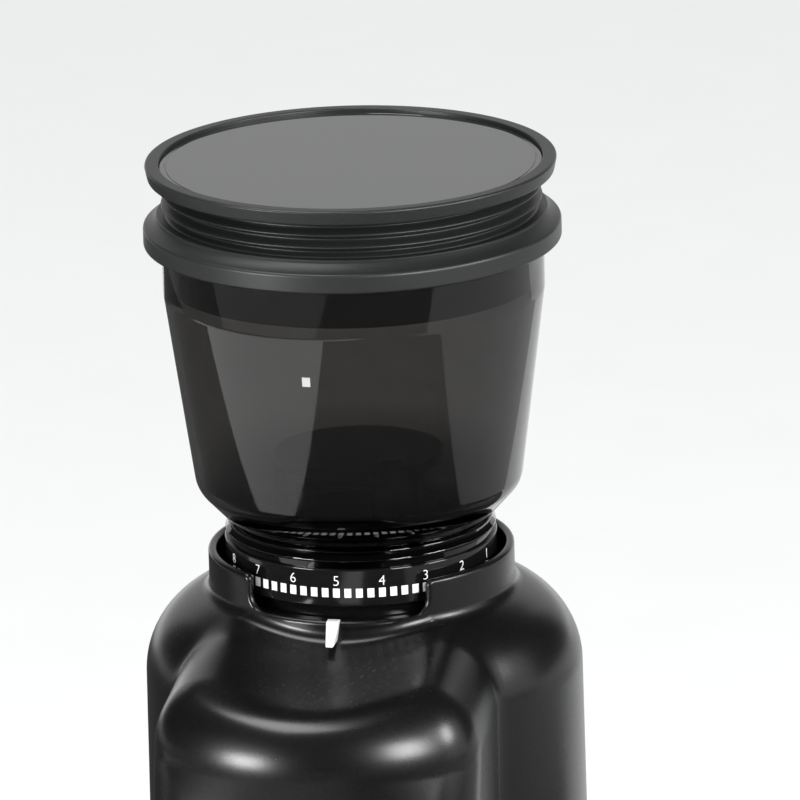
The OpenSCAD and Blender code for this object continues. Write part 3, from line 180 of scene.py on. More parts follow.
def turn(name, profile, steps=144, angle=35, flats=True):
    """Spins a closed half section of (reach, height) points round the hopper's axis."""
    bpy.ops.object.select_all(action="DESELECT")
    bpy.ops.mesh.primitive_plane_add(size=MM, location=(0, 0, 0))
    piece = begin(name)
    bpy.ops.mesh.merge(type="CENTER")
    last = Vector((0, 0, 0))
    for number, (reach, z) in enumerate([*profile, profile[0]]):
        step = at_axis(reach, 0, z) - last
        last = last + step
        if number == 0:
            bpy.ops.transform.translate(value=step)
        else:
            bpy.ops.mesh.extrude_region_move(TRANSFORM_OT_translate={"value": step})
    bpy.ops.mesh.select_all(action="SELECT")
    bpy.ops.mesh.spin(steps=steps, angle=2 * math.pi, center=AXIS, axis=(0, 0, 1))
    bpy.ops.mesh.select_all(action="SELECT")
    bpy.ops.mesh.remove_doubles(threshold=1e-6)
    bpy.ops.mesh.normals_make_consistent(inside=False)
    close(piece, angle)
    if flats:
        apply_modifier(piece, "WEIGHTED_NORMAL", keep_sharp=True)
    return piece


def apply_modifier(piece, kind, **settings):
    """Adds a modifier to a piece and applies it."""
    bpy.ops.object.select_all(action="DESELECT")
    bpy.context.view_layer.objects.active = piece
    piece.select_set(True)
    modifier = piece.modifiers.new(kind.title(), kind)
    for key, value in settings.items():
        setattr(modifier, key, value)
    bpy.ops.object.modifier_apply(modifier=modifier.name)


def join(pieces):
    """Joins pieces into the first of them."""
    bpy.ops.object.select_all(action="DESELECT")
    for piece in pieces:
        piece.select_set(True)
    bpy.context.view_layer.objects.active = pieces[0]
    bpy.ops.object.join()
    return pieces[0]


def round_meet(a, b, radius):
    """Distance to what two forms share, with a round of that radius along their edge."""
    outer = np.hypot(np.maximum(radius + a, 0), np.maximum(radius + b, 0))
    return np.minimum(-radius, np.maximum(a, b)) + outer


def round_join(a, b, radius):
    """Distance to two forms together, with a fillet of that radius between them."""
    inner = np.hypot(np.maximum(radius - a, 0), np.maximum(radius - b, 0))
    return np.maximum(radius, np.minimum(a, b)) - inner


def soft_max(a, b, width):
    """Larger of two distances, eased over a width where they are near each other."""
    return np.maximum(a, b) + np.maximum(width - np.abs(a - b), 0) ** 2 / (4 * width)


def hump_plan(x, forward, bow):
    """Distance in plan to the hump: two sides and a front bowed to that radius, corners rounded."""
    reach, side = bow - HUMP_CORNER, HUMP_HALF - HUMP_CORNER
    rise = np.sqrt(reach * reach - side * side)
    across, ahead = np.abs(x) - side, forward - HUMP_FRONT + bow - rise
    straight = np.maximum(across, np.hypot(x, forward - HUMP_FRONT + bow) - reach)
    in_corner = (ahead > 0) & (across * rise > ahead * side)
    return np.where(in_corner, np.hypot(across, ahead), straight) - HUMP_CORNER


def moulded_form(x, forward, z):
    """Distance to the moulded body below the collar: the column's shoulder, the hump and its scoop."""
    draft = COLUMN_DRAFT * (np.minimum(z, Z_SHOULDER) - Z_DECK) / (Z_SHOULDER - Z_DECK)
    side, crown = np.hypot(x, forward) - COLUMN_R + draft, z - Z_SHOULDER - SHOULDER_R
    column = round_meet(side, crown, SHOULDER_R)

    share = np.clip((z - Z_SEAM) / BOW_HEIGHT, 0, 1) ** 2
    plan = hump_plan(x, forward, 1 / ((1 - share) / SEAM_BOW_R + share / BROW_BOW_R))
    slope = (forward - HUMP_BACK) * math.tan(HUMP_FALL) + x * x / (2 * HUMP_CROWN_R)
    top = (z - Z_HUMP + slope) * math.cos(HUMP_FALL)
    hump = np.maximum(round_meet(plan, top, HUMP_CHEEK), HUMP_BACK - forward)
    body = -soft_max(-column, -hump, HUMP_BLEND)

    along = forward - SCOOP_AT
    dish = Z_SCOOP - SCOOP_FALL * along
    dish = dish + along * along / (2 * SCOOP_LONG_R) + x * x / (2 * SCOOP_CROSS_R)
    steep = np.hypot(along / SCOOP_LONG_R - SCOOP_FALL, x / SCOOP_CROSS_R)
    scoop = (z - dish) / np.sqrt(1 + steep * steep)
    # The scoop ends ahead of the column's middle, so behind that it cuts nothing
    scoop = np.where(forward < SCOOP_BACK, -SCOOP_BACK, scoop)
    return soft_max(body, scoop, SCOOP_SOFT)


def housing_form(x, forward, z):
    """Distance to the moulded body with the collar standing on it."""
    collar = np.maximum(np.hypot(x, forward) - COLLAR_R, z - Z_COLLAR)
    return round_join(moulded_form(x, forward, z), collar, COLLAR_FOOT)


def reach_of(form, turn_angle, rise, z_start, inset=0.0):
    """Reach along rays from the axis, by halving, to where a form's skin lies an inset inside it."""
    near = np.full(np.broadcast(turn_angle, rise, z_start).shape, RAY_NEAR)
    far = np.full(near.shape, RAY_FAR)
    for _ in range(RAY_HALVINGS):
        middle = (near + far) / 2
        flat, z = middle * np.cos(rise), z_start + middle * np.sin(rise)
        inside = form(flat * np.sin(turn_angle), flat * np.cos(turn_angle), z) < -inset
        near = np.where(inside, middle, near)
        far = np.where(inside, far, middle)
    return near


def collar_foot(angle):
    """Height at which the collar's wall meets the moulded body, at angles round the axis."""
    x, forward = COLLAR_R * np.sin(angle), COLLAR_R * np.cos(angle)
    z = np.full(angle.shape, Z_COLLAR)
    for _ in range(13):
        z = z - moulded_form(x, forward, z)
    return z


def collar_outline():
    """Developed edge of the collar from its back round the window, as arc length, height and normal."""
    low = Z_COLLAR - WINDOW_DEPTH
    corner = (WINDOW_HALF - WINDOW_CORNER, low + WINDOW_CORNER)
    ease = (WINDOW_HALF + WINDOW_EASE, Z_COLLAR - WINDOW_EASE)
    half = [(s, low) for s in np.linspace(0, corner[0], 38)[:-1]]
    half += arc(corner, WINDOW_CORNER, -90, 0, 12)
    half += [(WINDOW_HALF, z) for z in np.linspace(corner[1], ease[1], 6)[1:-1]]
    half += arc(ease, WINDOW_EASE, 180, 90, 8)
    half += [(s, Z_COLLAR) for s in np.linspace(ease[0], math.pi * COLLAR_R, 62)[1:]]
    edge = np.array([(-s, z) for s, z in half[:0:-1]] + half)
    way = np.gradient(edge, axis=0)
    way /= np.linalg.norm(way, axis=1)[:, None]
    return edge, np.stack([-way[:, 1], way[:, 0]], axis=1)


def make_upper_housing():
    """Moulded upper housing as one closed skin: outside, collar with its window, and inside."""
    edge, normal = collar_outline()
    columns = len(edge)
    run = np.concatenate([[0], np.cumsum(np.linalg.norm(np.diff(edge, axis=0), axis=1))])
    run -= run[columns // 2]
    window_run = run[np.argmin(np.abs(edge[:, 0] - WINDOW_HALF - WINDOW_EASE))]
    below = np.interp(
        run, [run[0], -window_run, window_run, run[-1]],
        np.radians([-180, -WINDOW_SPREAD, WINDOW_SPREAD, 180]),
    )
    rows = []

    def lay(reach, angle, z):
        places = [reach * np.sin(angle), reach * np.cos(angle), np.broadcast_to(z, reach.shape)]
        rows.append(np.stack(places, axis=1))

    def cast(form, rise, z, inset=0.0):
        reach = reach_of(form, below, rise, z, inset)
        lay(reach * np.cos(rise), below, z + reach * np.sin(rise))

    # Outside from the seam to just over the collar's fillet, in level rows and then in rising ones
    for z in np.linspace(Z_SEAM, Z_RAYS, 20)[:-1]:
        cast(housing_form, 0.0, z)
    over_fillet = 0.6
    z_wall = collar_foot(below) + COLLAR_FOOT + over_fillet
    highest = np.arctan2(z_wall - Z_RAYS, COLLAR_R)
    brow, fillet = 0.55, 0.86
    shares = np.concatenate([
        np.linspace(0, brow, 48)[:-1], np.linspace(brow, fillet, 22)[:-1], np.linspace(fillet, 1, 30),
    ])
    for share in shares:
        cast(housing_form, highest * share, Z_RAYS)

    # Collar's wall, the rounded lip that follows the window, and the ledge behind it
    lip = COLLAR_WALL / 2
    rim = edge - lip * normal
    for share in np.linspace(0, 1, 7)[1:-1]:
        lay(
            np.full(columns, COLLAR_R),
            below + (rim[:, 0] / COLLAR_R - below) * share,
            z_wall + (rim[:, 1] - z_wall) * share,
        )
    for a in np.radians(np.linspace(0, 180, 13)):
        bend = edge + (lip * math.sin(a) - lip) * normal
        lay(np.full(columns, COLLAR_R - lip + lip * math.cos(a)), bend[:, 0] / COLLAR_R, bend[:, 1])
    bore, z_ledge = SLEEVE_R + 1, Z_COLLAR - WINDOW_DEPTH - lip
    behind = edge[:, 0] / COLLAR_R
    for reach, z in ((COLLAR_R - COLLAR_WALL, z_ledge), (bore, z_ledge), (bore, z_ledge - WALL)):
        lay(np.full(columns, reach), behind + (below - behind) * 0.5, z)

    # Inside, a wall's thickness in, back down to the seam
    start = np.arctan2(z_ledge - WALL - Z_RAYS, bore)
    for share in np.linspace(0.96, 0, 30):
        cast(moulded_form, start * share, Z_RAYS, WALL)
    for z in np.linspace(Z_RAYS, Z_SEAM, 6)[1:]:
        cast(moulded_form, 0.0, z, WALL)
    rows.append(rows[0])

    points = np.stack(rows)
    bpy.ops.object.select_all(action="DESELECT")
    bpy.ops.mesh.primitive_grid_add(x_subdivisions=columns - 1, y_subdivisions=len(rows) - 1, size=1)
    piece = bpy.context.object
    piece.name = piece.data.name = "upper_housing_skin"
    places = np.stack([points[..., 0], AXIS_Y - points[..., 1], points[..., 2]], axis=-1) * MM
    piece.data.vertices.foreach_set("co", places.reshape(-1).astype(np.float32))
    bpy.ops.object.mode_set(mode="EDIT")
    bpy.ops.mesh.select_all(action="SELECT")
    bpy.ops.mesh.remove_doubles(threshold=2e-6)
    bpy.ops.mesh.normals_make_consistent(inside=False)
    return close(piece, 50)


def make_hopper():
    """Smoked hopper: straight mouth, taper, rounded bowl corner, neck, lip and plug."""
    foot, plug, lip = 38.2, 34.3, 0.8
    z_plug, z_neck = Z_DIAL - 8.2, Z_DIAL + 5.2
    corner, corner_r = (38.3, Z_DIAL + 18.6), 8
    lean = math.degrees(BOWL_LEAN)
    outside = [
        (plug, z_plug), (plug, Z_DIAL), (foot - 0.5, Z_DIAL),
        *arc((foot - 0.6, Z_DIAL + 2.3), 0.6, -60, 60, 5), (foot - 1, Z_DIAL + 3.8),
        *arc((NECK_R + 0.2, Z_DIAL + 4.6), 0.4, 0, 60, 3),
        (NECK_R - 0.2, z_neck), (NECK_R + 0.4, z_neck + 0.5),
        *arc(corner, corner_r, -45, -lean, 12),
        (MOUTH_R - 0.06, Z_STRAIGHT - 0.4), (MOUTH_R, Z_STRAIGHT + 0.4), (MOUTH_R, Z_MOUTH - lip),
        *arc((MOUTH_R - lip, Z_MOUTH - lip), lip, 0, 90, 5),
    ]
    mouth, throat = MOUTH_R - HOPPER_WALL, plug - HOPPER_WALL
    inside = [
        *arc((mouth + lip, Z_MOUTH - lip), lip, 90, 180, 5), (mouth, Z_STRAIGHT),
        *arc(corner, corner_r - HOPPER_WALL, -lean, -45, 12),
        (NECK_R - HOPPER_WALL + 0.6, z_neck + 0.9), (throat, z_neck - 1.5), (throat, z_plug),
    ]
    return turn("hopper_bowl", [*outside, *inside])


def make_fill_mark():
    """Plain square fill mark printed on the hopper's front."""
    width, height, bevel = 2.3, 2.8, 0.02
    turned, z, proud = math.radians(-4.3), Z_COLLAR + 61.7, 0.15
    bpy.ops.object.select_all(action="DESELECT")
    bpy.ops.mesh.primitive_cube_add(size=MM)
    piece = begin("fill_mark")
    bpy.ops.transform.resize(value=(width, 2 * PRINT_RISE, height))
    bpy.ops.mesh.bevel(offset=bevel * MM, segments=1)
    bpy.ops.object.mode_set(mode="OBJECT")
    reach = BOWL_R + (z - Z_BOWL) * math.tan(BOWL_LEAN) + proud
    place = Matrix.Translation(at_axis(reach * math.sin(turned), reach * math.cos(turned), z))
    leaning = Matrix.Rotation(turned, 4, "Z") @ Matrix.Rotation(BOWL_LEAN, 4, "X")
    piece.matrix_world = place @ leaning
    bpy.ops.object.mode_set(mode="EDIT")
    return close(piece)


def make_lid_base():
    """Lid's flange with its plug inside the hopper's mouth and the blower's air holes."""
    flange, plug, plug_wall, seat, bore, hub_r = 58.5, 50.8, 2.5, 54.4, 46.7, 6
    z_plug, z_web, z_web_top = Z_MOUTH - 11.6, Z_MOUTH + 1, Z_MOUTH + 3.5
    hole_count, hole_r, hole_ring = 8, 4, 30.5
    piece = turn("lid_flange", [
        (hub_r, z_web), (plug - plug_wall, z_web), (plug - plug_wall, z_plug), (plug, z_plug),
        (plug, Z_MOUTH), (flange - 0.7, Z_MOUTH),
        *arc((flange - 0.7, Z_MOUTH + 0.7), 0.7, -90, 0, 5),
        *arc((flange - 1.1, Z_MOUTH + 4.6), 1.1, 0, 60, 6),
        (flange - 2.4, Z_MOUTH + 6.3), (seat + 0.4, Z_SEAT - 0.9),
        *arc((seat, Z_SEAT - 0.5), 0.5, 20, 90, 4),
        (bore, Z_SEAT), (bore, z_web_top), (hub_r, z_web_top),
    ])
    hub_edge = hub_r + 0.2
    hub = turn("lid_web_hub", [
        (POLE, z_web), (hub_edge, z_web), (hub_edge, z_web_top), (POLE, z_web_top),
    ], steps=24)
    cutters = []
    for number in range(hole_count):
        bpy.ops.object.select_all(action="DESELECT")
        turned = number * 2 * math.pi / hole_count
        x, forward = hole_ring * math.cos(turned), hole_ring * math.sin(turned)
        bpy.ops.mesh.primitive_cylinder_add(
            vertices=32, radius=hole_r * MM, depth=8 * MM,
            location=at_axis(x, forward, (z_web + z_web_top) / 2),
        )
        cutters.append(bpy.context.object)
    holes = join(cutters)
    apply_modifier(piece, "BOOLEAN", operation="DIFFERENCE", solver="EXACT", object=holes)
    bpy.data.objects.remove(holes)
    return join([piece, hub])


def make_bellows():
    """Soft bellows between the lid's flange and its press plate."""
    skin, end, crest, groove = 1.4, 52.4, 53.3, 50.4
    folds = [
        (Z_SEAT, end), (Z_SEAT + 1.2, groove), (Z_SEAT + 3.0, crest), (Z_SEAT + 4.75, groove),
        (Z_SEAT + 6.5, crest), (Z_SEAT + 8.25, groove), (Z_PLATE, end),
    ]
    outside = []
    for (z0, r0), (z1, r1) in zip(folds, folds[1:]):
        for share in np.linspace(0, 1, 9)[:-1]:
            ease = (1 - math.cos(math.pi * share)) / 2
            outside.append((r0 + (r1 - r0) * ease, z0 + (z1 - z0) * share))
    outside.append((end, Z_PLATE))
    inside = [(r - skin, z) for r, z in outside[::-1]]
    return turn("bellows_folds", [*outside, *inside], angle=60, flats=False)


def make_wave_spring():
    """Wave spring under the burr carrier: a flat steel ring bent into waves."""
    inner, outer, clear = 26.7, 30.4, 0.05
    middle = Z_SPRING + clear + SPRING_HEIGHT / 2
    low, high = middle - SPRING_STRIP / 2, middle + SPRING_STRIP / 2
    piece = turn("wave_spring_ring", [
        (inner, low), (outer, low), (outer, high), (inner, high),
    ], flats=False)
    swing = (SPRING_HEIGHT - SPRING_STRIP) / 2 * MM
    for point in piece.data.vertices:
        angle = math.atan2(point.co.y - AXIS[1], point.co.x)
        point.co.z += swing * math.cos(SPRING_WAVES * angle)
    return piece


def make_press_plate():
    """Press plate of the lid with its rounded raised rim."""
    edge, recess, rim, outer_round, inner_round = 57.5, 1.9, 3.9, 0.7, 0.4
    under, inner, z_recess = edge - 1.3, edge - rim, Z_TOP - recess
    return turn("press_plate", [
        (POLE, Z_PLATE), (under, Z_PLATE),
        *arc((under, Z_PLATE + outer_round), outer_round, -90, -8, 5),
        *arc((edge - outer_round, Z_TOP - outer_round), outer_round, 0, 90, 6),
        *arc((inner + inner_round, Z_TOP - inner_round), inner_round, 90, 180, 4),
        (inner, z_recess), (POLE, z_recess),
    ])


def make_press_inlay():
    """Glossy disc that lies in the press plate, with a fine step round its edge."""
    edge, low, high, edge_round, step = 53.5, Z_TOP - 1.88, Z_TOP - 1.1, 0.3, 0.12
    return turn("press_inlay", [
        (POLE, low), (edge, low), *arc((edge - edge_round, high - edge_round), edge_round, 0, 90, 4),
        (edge - 1.4, high), (edge - 1.5, high - step), (edge - 1.8, high - step), (edge - 1.9, high),
        (POLE, high),
    ], angle=20)


def make_dial():
    """Turning grind dial: printed band over its long sleeve, with the seat of the hopper's plug."""
    low, lip, seat, z_seat = Z_DIAL - DIAL_HEIGHT, 0.5, 34.6, Z_DIAL - 8.5
    return turn("dial_band", [
        (SLEEVE_BORE, Z_SLEEVE), (SLEEVE_R, Z_SLEEVE), (SLEEVE_R, low), (DIAL_R - lip, low),
        *arc((DIAL_R - lip, low + lip), lip, -90, 0, 5),
        *arc((DIAL_R - lip, Z_DIAL - lip), lip, 0, 90, 5),
        (seat, Z_DIAL), (seat, z_seat), (SLEEVE_BORE, z_seat),
    ])


def wrap_on_dial(piece, turned, z):
    """Wraps a flat print, drawn in x and z with its thickness along y, round the dial's band."""
    for vertex in piece.data.vertices:
        along, out, up = vertex.co / MM
        angle = turned + along / DIAL_R
        reach = DIAL_R + (PRINT_RISE if out < 0 else -PRINT_RISE)
        vertex.co = at_axis(reach * math.sin(angle), reach * math.cos(angle), z + up)


def make_numeral(value):
    """One white numeral of the dial, wrapped on its band."""
    bpy.ops.object.select_all(action="DESELECT")
    bpy.ops.object.text_add(rotation=(math.pi / 2, 0, 0))
    text = bpy.context.object
    text.data.body = str(value)
    text.data.align_x = "CENTER"
    text.data.size = 1
    text.data.extrude = 0.01
    text.data.offset = -0.015
    bpy.ops.object.convert(target="MESH")
    piece = bpy.context.object
    bpy.ops.object.transform_apply(rotation=True)
    height = max(v.co.z for v in piece.data.vertices)
    for vertex in piece.data.vertices:
        vertex.co *= NUMERAL_HEIGHT * MM / height
    turned = PRINT_TURN + (FRONT_NUMERAL - value) * NUMERAL_STEP
    wrap_on_dial(piece, math.radians(turned), Z_NUMERALS)
    return piece


def make_dial_print():
    """White numerals and the row of square ticks, printed on the dial's band."""
    made = [make_numeral(value) for value in range(1, LAST_NUMERAL + 1)]
    bpy.ops.object.select_all(action="DESELECT")
    bpy.ops.mesh.primitive_cube_add(size=MM)
    tick = begin("dial_tick")
    bpy.ops.transform.resize(value=(TICK_SIZE[0], 2 * PRINT_RISE, TICK_SIZE[1]))
    bpy.ops.mesh.subdivide(number_cuts=2)
    bpy.ops.object.mode_set(mode="OBJECT")
    first = PRINT_TURN - (LAST_NUMERAL - FRONT_NUMERAL) * NUMERAL_STEP
    steps = int(round((LAST_NUMERAL - 1) * NUMERAL_STEP / TICK_STEP))
    for number in range(steps + 1):
        copy = tick.copy()
        copy.data = tick.data.copy()
        bpy.context.collection.objects.link(copy)
        wrap_on_dial(copy, math.radians(first + number * TICK_STEP), Z_TICKS)
        made.append(copy)
    bpy.data.objects.remove(tick)
    piece = join(made)
    piece.name = piece.data.name = "dial_print"
    return piece


def make_pointer():
    """White wedge under the window that reads the dial."""
    z_tip, height, edge_round = Z_COLLAR - 9.8, 5.8, 0.35
    tip_half, foot_half = 1.85, 1.15
    tip_reach, foot_reach, root = COLLAR_R + 1.1, COLLAR_R + 6.7, COLLAR_R - 1.5
    bpy.ops.object.select_all(action="DESELECT")
    bpy.ops.mesh.primitive_cube_add(size=1)
    piece = begin("pointer_wedge")
    bpy.ops.object.mode_set(mode="OBJECT")
    for vertex in piece.data.vertices:
        tip, front = vertex.co.z > 0, vertex.co.y < 0
        half = tip_half if tip else foot_half
        reach = (tip_reach if tip else foot_reach) if front else root
        x = half if vertex.co.x > 0 else -half
        vertex.co = at_axis(x, reach, z_tip if tip else z_tip - height)
    bpy.ops.object.mode_set(mode="EDIT")
    bpy.ops.mesh.select_all(action="SELECT")
    bpy.ops.mesh.bevel(offset=edge_round * MM, segments=3)
    return close(piece, 40)


def linear(code):
    """Linear colour of an sRGB hex value."""
    parts = [int(code[i:i + 2], 16) / 255 for i in (1, 3, 5)]
    return (*[c / 12.92 if c <= 0.04045 else ((c + 0.055) / 1.055) ** 2.4 for c in parts], 1)


def add(tree, kind, sockets, **settings):
    """Adds a node with its properties, and its inputs set to a value or linked to an output."""
    node = tree.nodes.new(kind)
    for key, value in settings.items():
        setattr(node, key, value)
    for key, value in sockets.items():
        if isinstance(value, bpy.types.NodeSocket):
            tree.links.new(value, node.inputs[key])
        else:
            node.inputs[key].default_value = value
    return node


def blank_material(name):
    """New material with an empty tree of nodes."""
    material = bpy.data.materials.new(name)
    material.use_nodes = True
    material.node_tree.nodes.clear()
    return material


def finish(name, dark, light, rough, grain, relief, stretch=(1, 1, 1), **shader):
    """Material whose colour, roughness and relief vary on one grain, sized in millimetres."""
    low, high = 0.3, 0.7
    material = blank_material(name)
    tree = material.node_tree
    place = add(tree, "ShaderNodeTexCoord", {})
    scaled = add(tree, "ShaderNodeMapping", {"Vector": place.outputs["Object"], "Scale": stretch})
    noise = add(tree, "ShaderNodeTexNoise", {
        "Vector": scaled.outputs["Vector"], "Scale": 1 / (grain * MM), "Detail": 4.0,
    })
    tone = add(tree, "ShaderNodeValToRGB", {"Fac": noise.outputs["Fac"]})
    for stop, position, code in zip(tone.color_ramp.elements, (low, high), (dark, light)):
        stop.position, stop.color = position, linear(code)
    sheen = add(tree, "ShaderNodeMapRange", {
        "Value": noise.outputs["Fac"], "From Min": low, "From Max": high,
        "To Min": rough[0], "To Max": rough[1],
    })
    bump = add(tree, "ShaderNodeBump", {
        "Height": noise.outputs["Fac"], "Distance": relief * MM, "Strength": 1.0,
    })
    surface = add(tree, "ShaderNodeBsdfPrincipled", {
        "Base Color": tone.outputs["Color"], "Roughness": sheen.outputs["Result"],
        "Normal": bump.outputs["Normal"],
        **{key.replace("_", " "): value for key, value in shader.items()},
    })
    add(tree, "ShaderNodeOutputMaterial", {"Surface": surface.outputs["BSDF"]})
    return material


def tint_through(material, colour, density):
    """Tints the inside of a clear finish, so that thick places look darker."""
    tree = material.node_tree
    tint = add(tree, "ShaderNodeVolumeAbsorption", {"Color": linear(colour), "Density": density})
    tree.links.new(tint.outputs["Volume"], tree.nodes["Material Output"].inputs["Volume"])


def deepen(material, z_low, z_high, tint):
    """Paints shade into a material's colour: a tint that darkens it towards a lower height."""
    tree = material.node_tree
    base = tree.nodes["Principled BSDF"].inputs["Base Color"]
    plain = base.links[0].from_socket
    place = add(tree, "ShaderNodeTexCoord", {})
    height = add(tree, "ShaderNodeSeparateXYZ", {"Vector": place.outputs["Object"]})
    share = add(tree, "ShaderNodeMapRange", {
        "Value": height.outputs["Z"], "From Min": z_low * MM, "From Max": z_high * MM,
        "To Min": 1.0, "To Max": 0.0,
    })
    painted_shade = add(tree, "ShaderNodeMix", {
        0: share.outputs["Result"], 6: plain, 7: linear(tint),
    }, data_type="RGBA", blend_type="MULTIPLY")
    tree.links.new(painted_shade.outputs[2], base)


# Moulded ABS with a satin tool finish: near black, soft wide reflections
satin_abs = finish("satin_black_abs", "#070708", "#09090a", (0.272, 0.287), 1.2, 0.0005, IOR=1.5)
# Polished ABS: black with sharp reflections
gloss_abs = finish("gloss_black_abs", "#0c0c0d", "#0f0f10", (0.06, 0.1), 2.0, 0.001, IOR=1.5)
# Moulded silicone rubber: charcoal, dull, with a faint dusty bloom
silicone = finish("charcoal_silicone", "#191a1a", "#1d1e1e", (0.38, 0.44), 0.6, 0.001, IOR=1.5)
# Clear hard-coated inlay over a dark print: charcoal with a mirror gloss
inlay_gloss = finish("gloss_charcoal_inlay", "#242526", "#282929", (0.04, 0.07), 3.0, 0.0003, IOR=1.5)
# Smoked SAN, injection moulded: tinted clear with a polished skin, and painted shade that is darkest at
# the neck
CLEAR_SAN = {"IOR": 1.56, "Transmission_Weight": 1.0}
SMOKE = "#8a8887"
smoked_san = finish("smoked_san", "#aaa8a7", "#afadac", (0.02, 0.04), 6.0, 0.0005, **CLEAR_SAN)
# Painted shade: the hopper's colour darkens towards the neck
deepen(smoked_san, Z_DIAL + 10, Z_DIAL + 25, "#5a5a5a")
tint_through(smoked_san, SMOKE, 430.0)
# The same SAN with less tint, so the dose in the cup can be seen
cup_san = finish("light_smoked_san", "#c4c3c2", "#cac9c8", (0.02, 0.04), 6.0, 0.0005, **CLEAR_SAN)
tint_through(cup_san, SMOKE, 230.0)
# Pad-printed ink, thin on the clear wall: light grey
grey_ink = finish("grey_print_ink", "#9a9a98", "#a8a8a6", (0.45, 0.6), 0.3, 0.004)
# Pad-printed ink: flat white, slightly uneven cover
white_ink = finish("white_print_ink", "#dcdcda", "#ececea", (0.45, 0.6), 0.3, 0.004)
# Moulded white ABS: soft white, half gloss
white_abs = finish("white_abs", "#c4c4c2", "#cfcfcd", (0.3, 0.4), 0.6, 0.003)
# Moulded polypropylene: black, waxy
black_pp = finish("black_polypropylene", "#151515", "#1b1b1b", (0.38, 0.5), 0.7, 0.006)
# Vulcanised rubber: black, dull
rubber = finish("black_rubber", "#171717", "#1e1e1e", (0.7, 0.85), 0.5, 0.01)
# Pressure die-cast aluminium: grey, lightly blasted
die_cast = finish("die_cast_aluminium", "#9a9da0", "#adb0b2", (0.38, 0.5), 0.8, 0.012, Metallic=1.0)
# Hardened burr steel, ground: mid grey with fine lines across the teeth
burr_steel = finish(
    "hardened_burr_steel", "#8f9194", "#a5a7aa", (0.22, 0.34), 0.4, 0.004, (1, 1, 6), Metallic=1.0,
)
# Turned bright steel: fine lines round the shaft
bright_steel = finish(
    "turned_bright_steel", "#b3b5b7", "#c3c5c7", (0.15, 0.28), 0.5, 0.002, (0.1, 0.1, 8), Metallic=1.0,
)
# Zinc-plated steel sheet and screws: bluish grey with a faint spangle
zinc_steel = finish("zinc_plated_steel", "#a2a6aa", "#b7bbbf", (0.26, 0.4), 1.8, 0.003, Metallic=1.0)
# Natural acetal: ivory, slightly waxy
acetal = finish("natural_acetal", "#cfcabb", "#dad5c7", (0.35, 0.45), 0.8, 0.004)
# Sintered bronze: dull yellow brown, finely pitted
bronze = finish("sintered_bronze", "#a5854e", "#b8985e", (0.35, 0.5), 0.3, 0.006, Metallic=1.0)
# Pressed ferrite magnet: dark, grainy
ferrite = finish("pressed_ferrite", "#2f3032", "#3b3c3e", (0.6, 0.75), 0.25, 0.01)
# Varnished copper winding on laminations: fine lines across the shaft
winding = finish(
    "varnished_copper", "#7d4f2b", "#a8703f", (0.3, 0.45), 0.4, 0.02, (1, 1, 5), Metallic=0.6,
)
# Glass-epoxy board under solder mask: green, half gloss
board_mask = finish("green_solder_mask", "#1f5a38", "#2a6b44", (0.3, 0.4), 1.2, 0.004)
# Moulded epoxy of the board's parts: dark grey, matt
epoxy = finish("moulded_epoxy", "#222226", "#2c2c31", (0.5, 0.6), 0.4, 0.006)

FINISHES = {
    satin_abs: ["lower_housing", "base"],
    black_pp: [
        "bean_guard", "burr_carrier", "hump_floor", "chute", "motor_cap", "cooling_fan", "cord_gland",
    ],
    gloss_abs: ["switch_body", "switch_rocker"],
    cup_san: ["grounds_cup"],
    rubber: ["feet", "rubber_mounts", "shaft_seal"],
    die_cast: ["grind_chamber"],
    burr_steel: ["ring_burr", "cone_burr"],
    bright_steel: ["spindle", "upper_bearing", "lower_bearing", "idler_pin", "burr_nut"],
    zinc_steel: [
        "gear_plate", "gear_bridge", "motor_can", "base_screws", "seam_screws", "chamber_screws",
        "plate_screws", "bridge_screws", "motor_screws", "floor_screws", "board_screws",
    ],
    acetal: ["output_gear", "idler_gear", "impeller"],
    bronze: ["motor_pinion"],
    ferrite: ["motor_magnets"],
    winding: ["armature"],
    board_mask: ["control_board"],
    epoxy: ["board_parts"],
}


def dress(piece, material):
    """Gives a piece one material."""
    piece.data.materials.clear()
    piece.data.materials.append(material)


for material, names in FINISHES.items():
    for name in names:
        dress(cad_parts[name], material)

# Pieces of the scene: maker, finish, body that carries it, node it stands for
PIECES = [
    (make_upper_housing, satin_abs, "body", "upper_housing"),
    (make_pointer, white_abs, "body", "pointer"),
    (make_dial, gloss_abs, "dial", "dial_ring"),
    (make_dial_print, white_ink, "dial", None),
    (make_hopper, smoked_san, "hopper", "hopper"),
    (make_fill_mark, grey_ink, "hopper", None),
    (make_lid_base, silicone, "lid", "lid_base"),
    (make_bellows, silicone, "lid", "bellows"),
    (make_press_plate, silicone, "pump", "pump_plate"),
    (make_press_inlay, inlay_gloss, "pump", "pump_inlay"),
    (make_wave_spring, bright_steel, "body", "wave_spring"),
]
for make, material, body, node in PIECES:
    piece = make()
    dress(piece, material)
    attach(piece, body)
    if node:
        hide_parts(node)
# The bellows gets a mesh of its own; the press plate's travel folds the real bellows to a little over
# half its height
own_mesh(bpy.data.objects["bellows_folds"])
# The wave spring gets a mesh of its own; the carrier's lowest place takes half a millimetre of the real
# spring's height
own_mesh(bpy.data.objects["wave_spring_ring"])


def round_camera(turned, rise, distance, z=0.25):
    """Place in metres from the hopper's middle, by degrees to the right of the camera and upwards."""
    turned, rise = math.radians(turned) + CAMERA_SWING, math.radians(rise)
    way = (math.sin(turned) * math.cos(rise), -math.cos(turned) * math.cos(rise), math.sin(rise))
    return Vector((0, AXIS_Y * MM, z)) + Vector(way) * distance


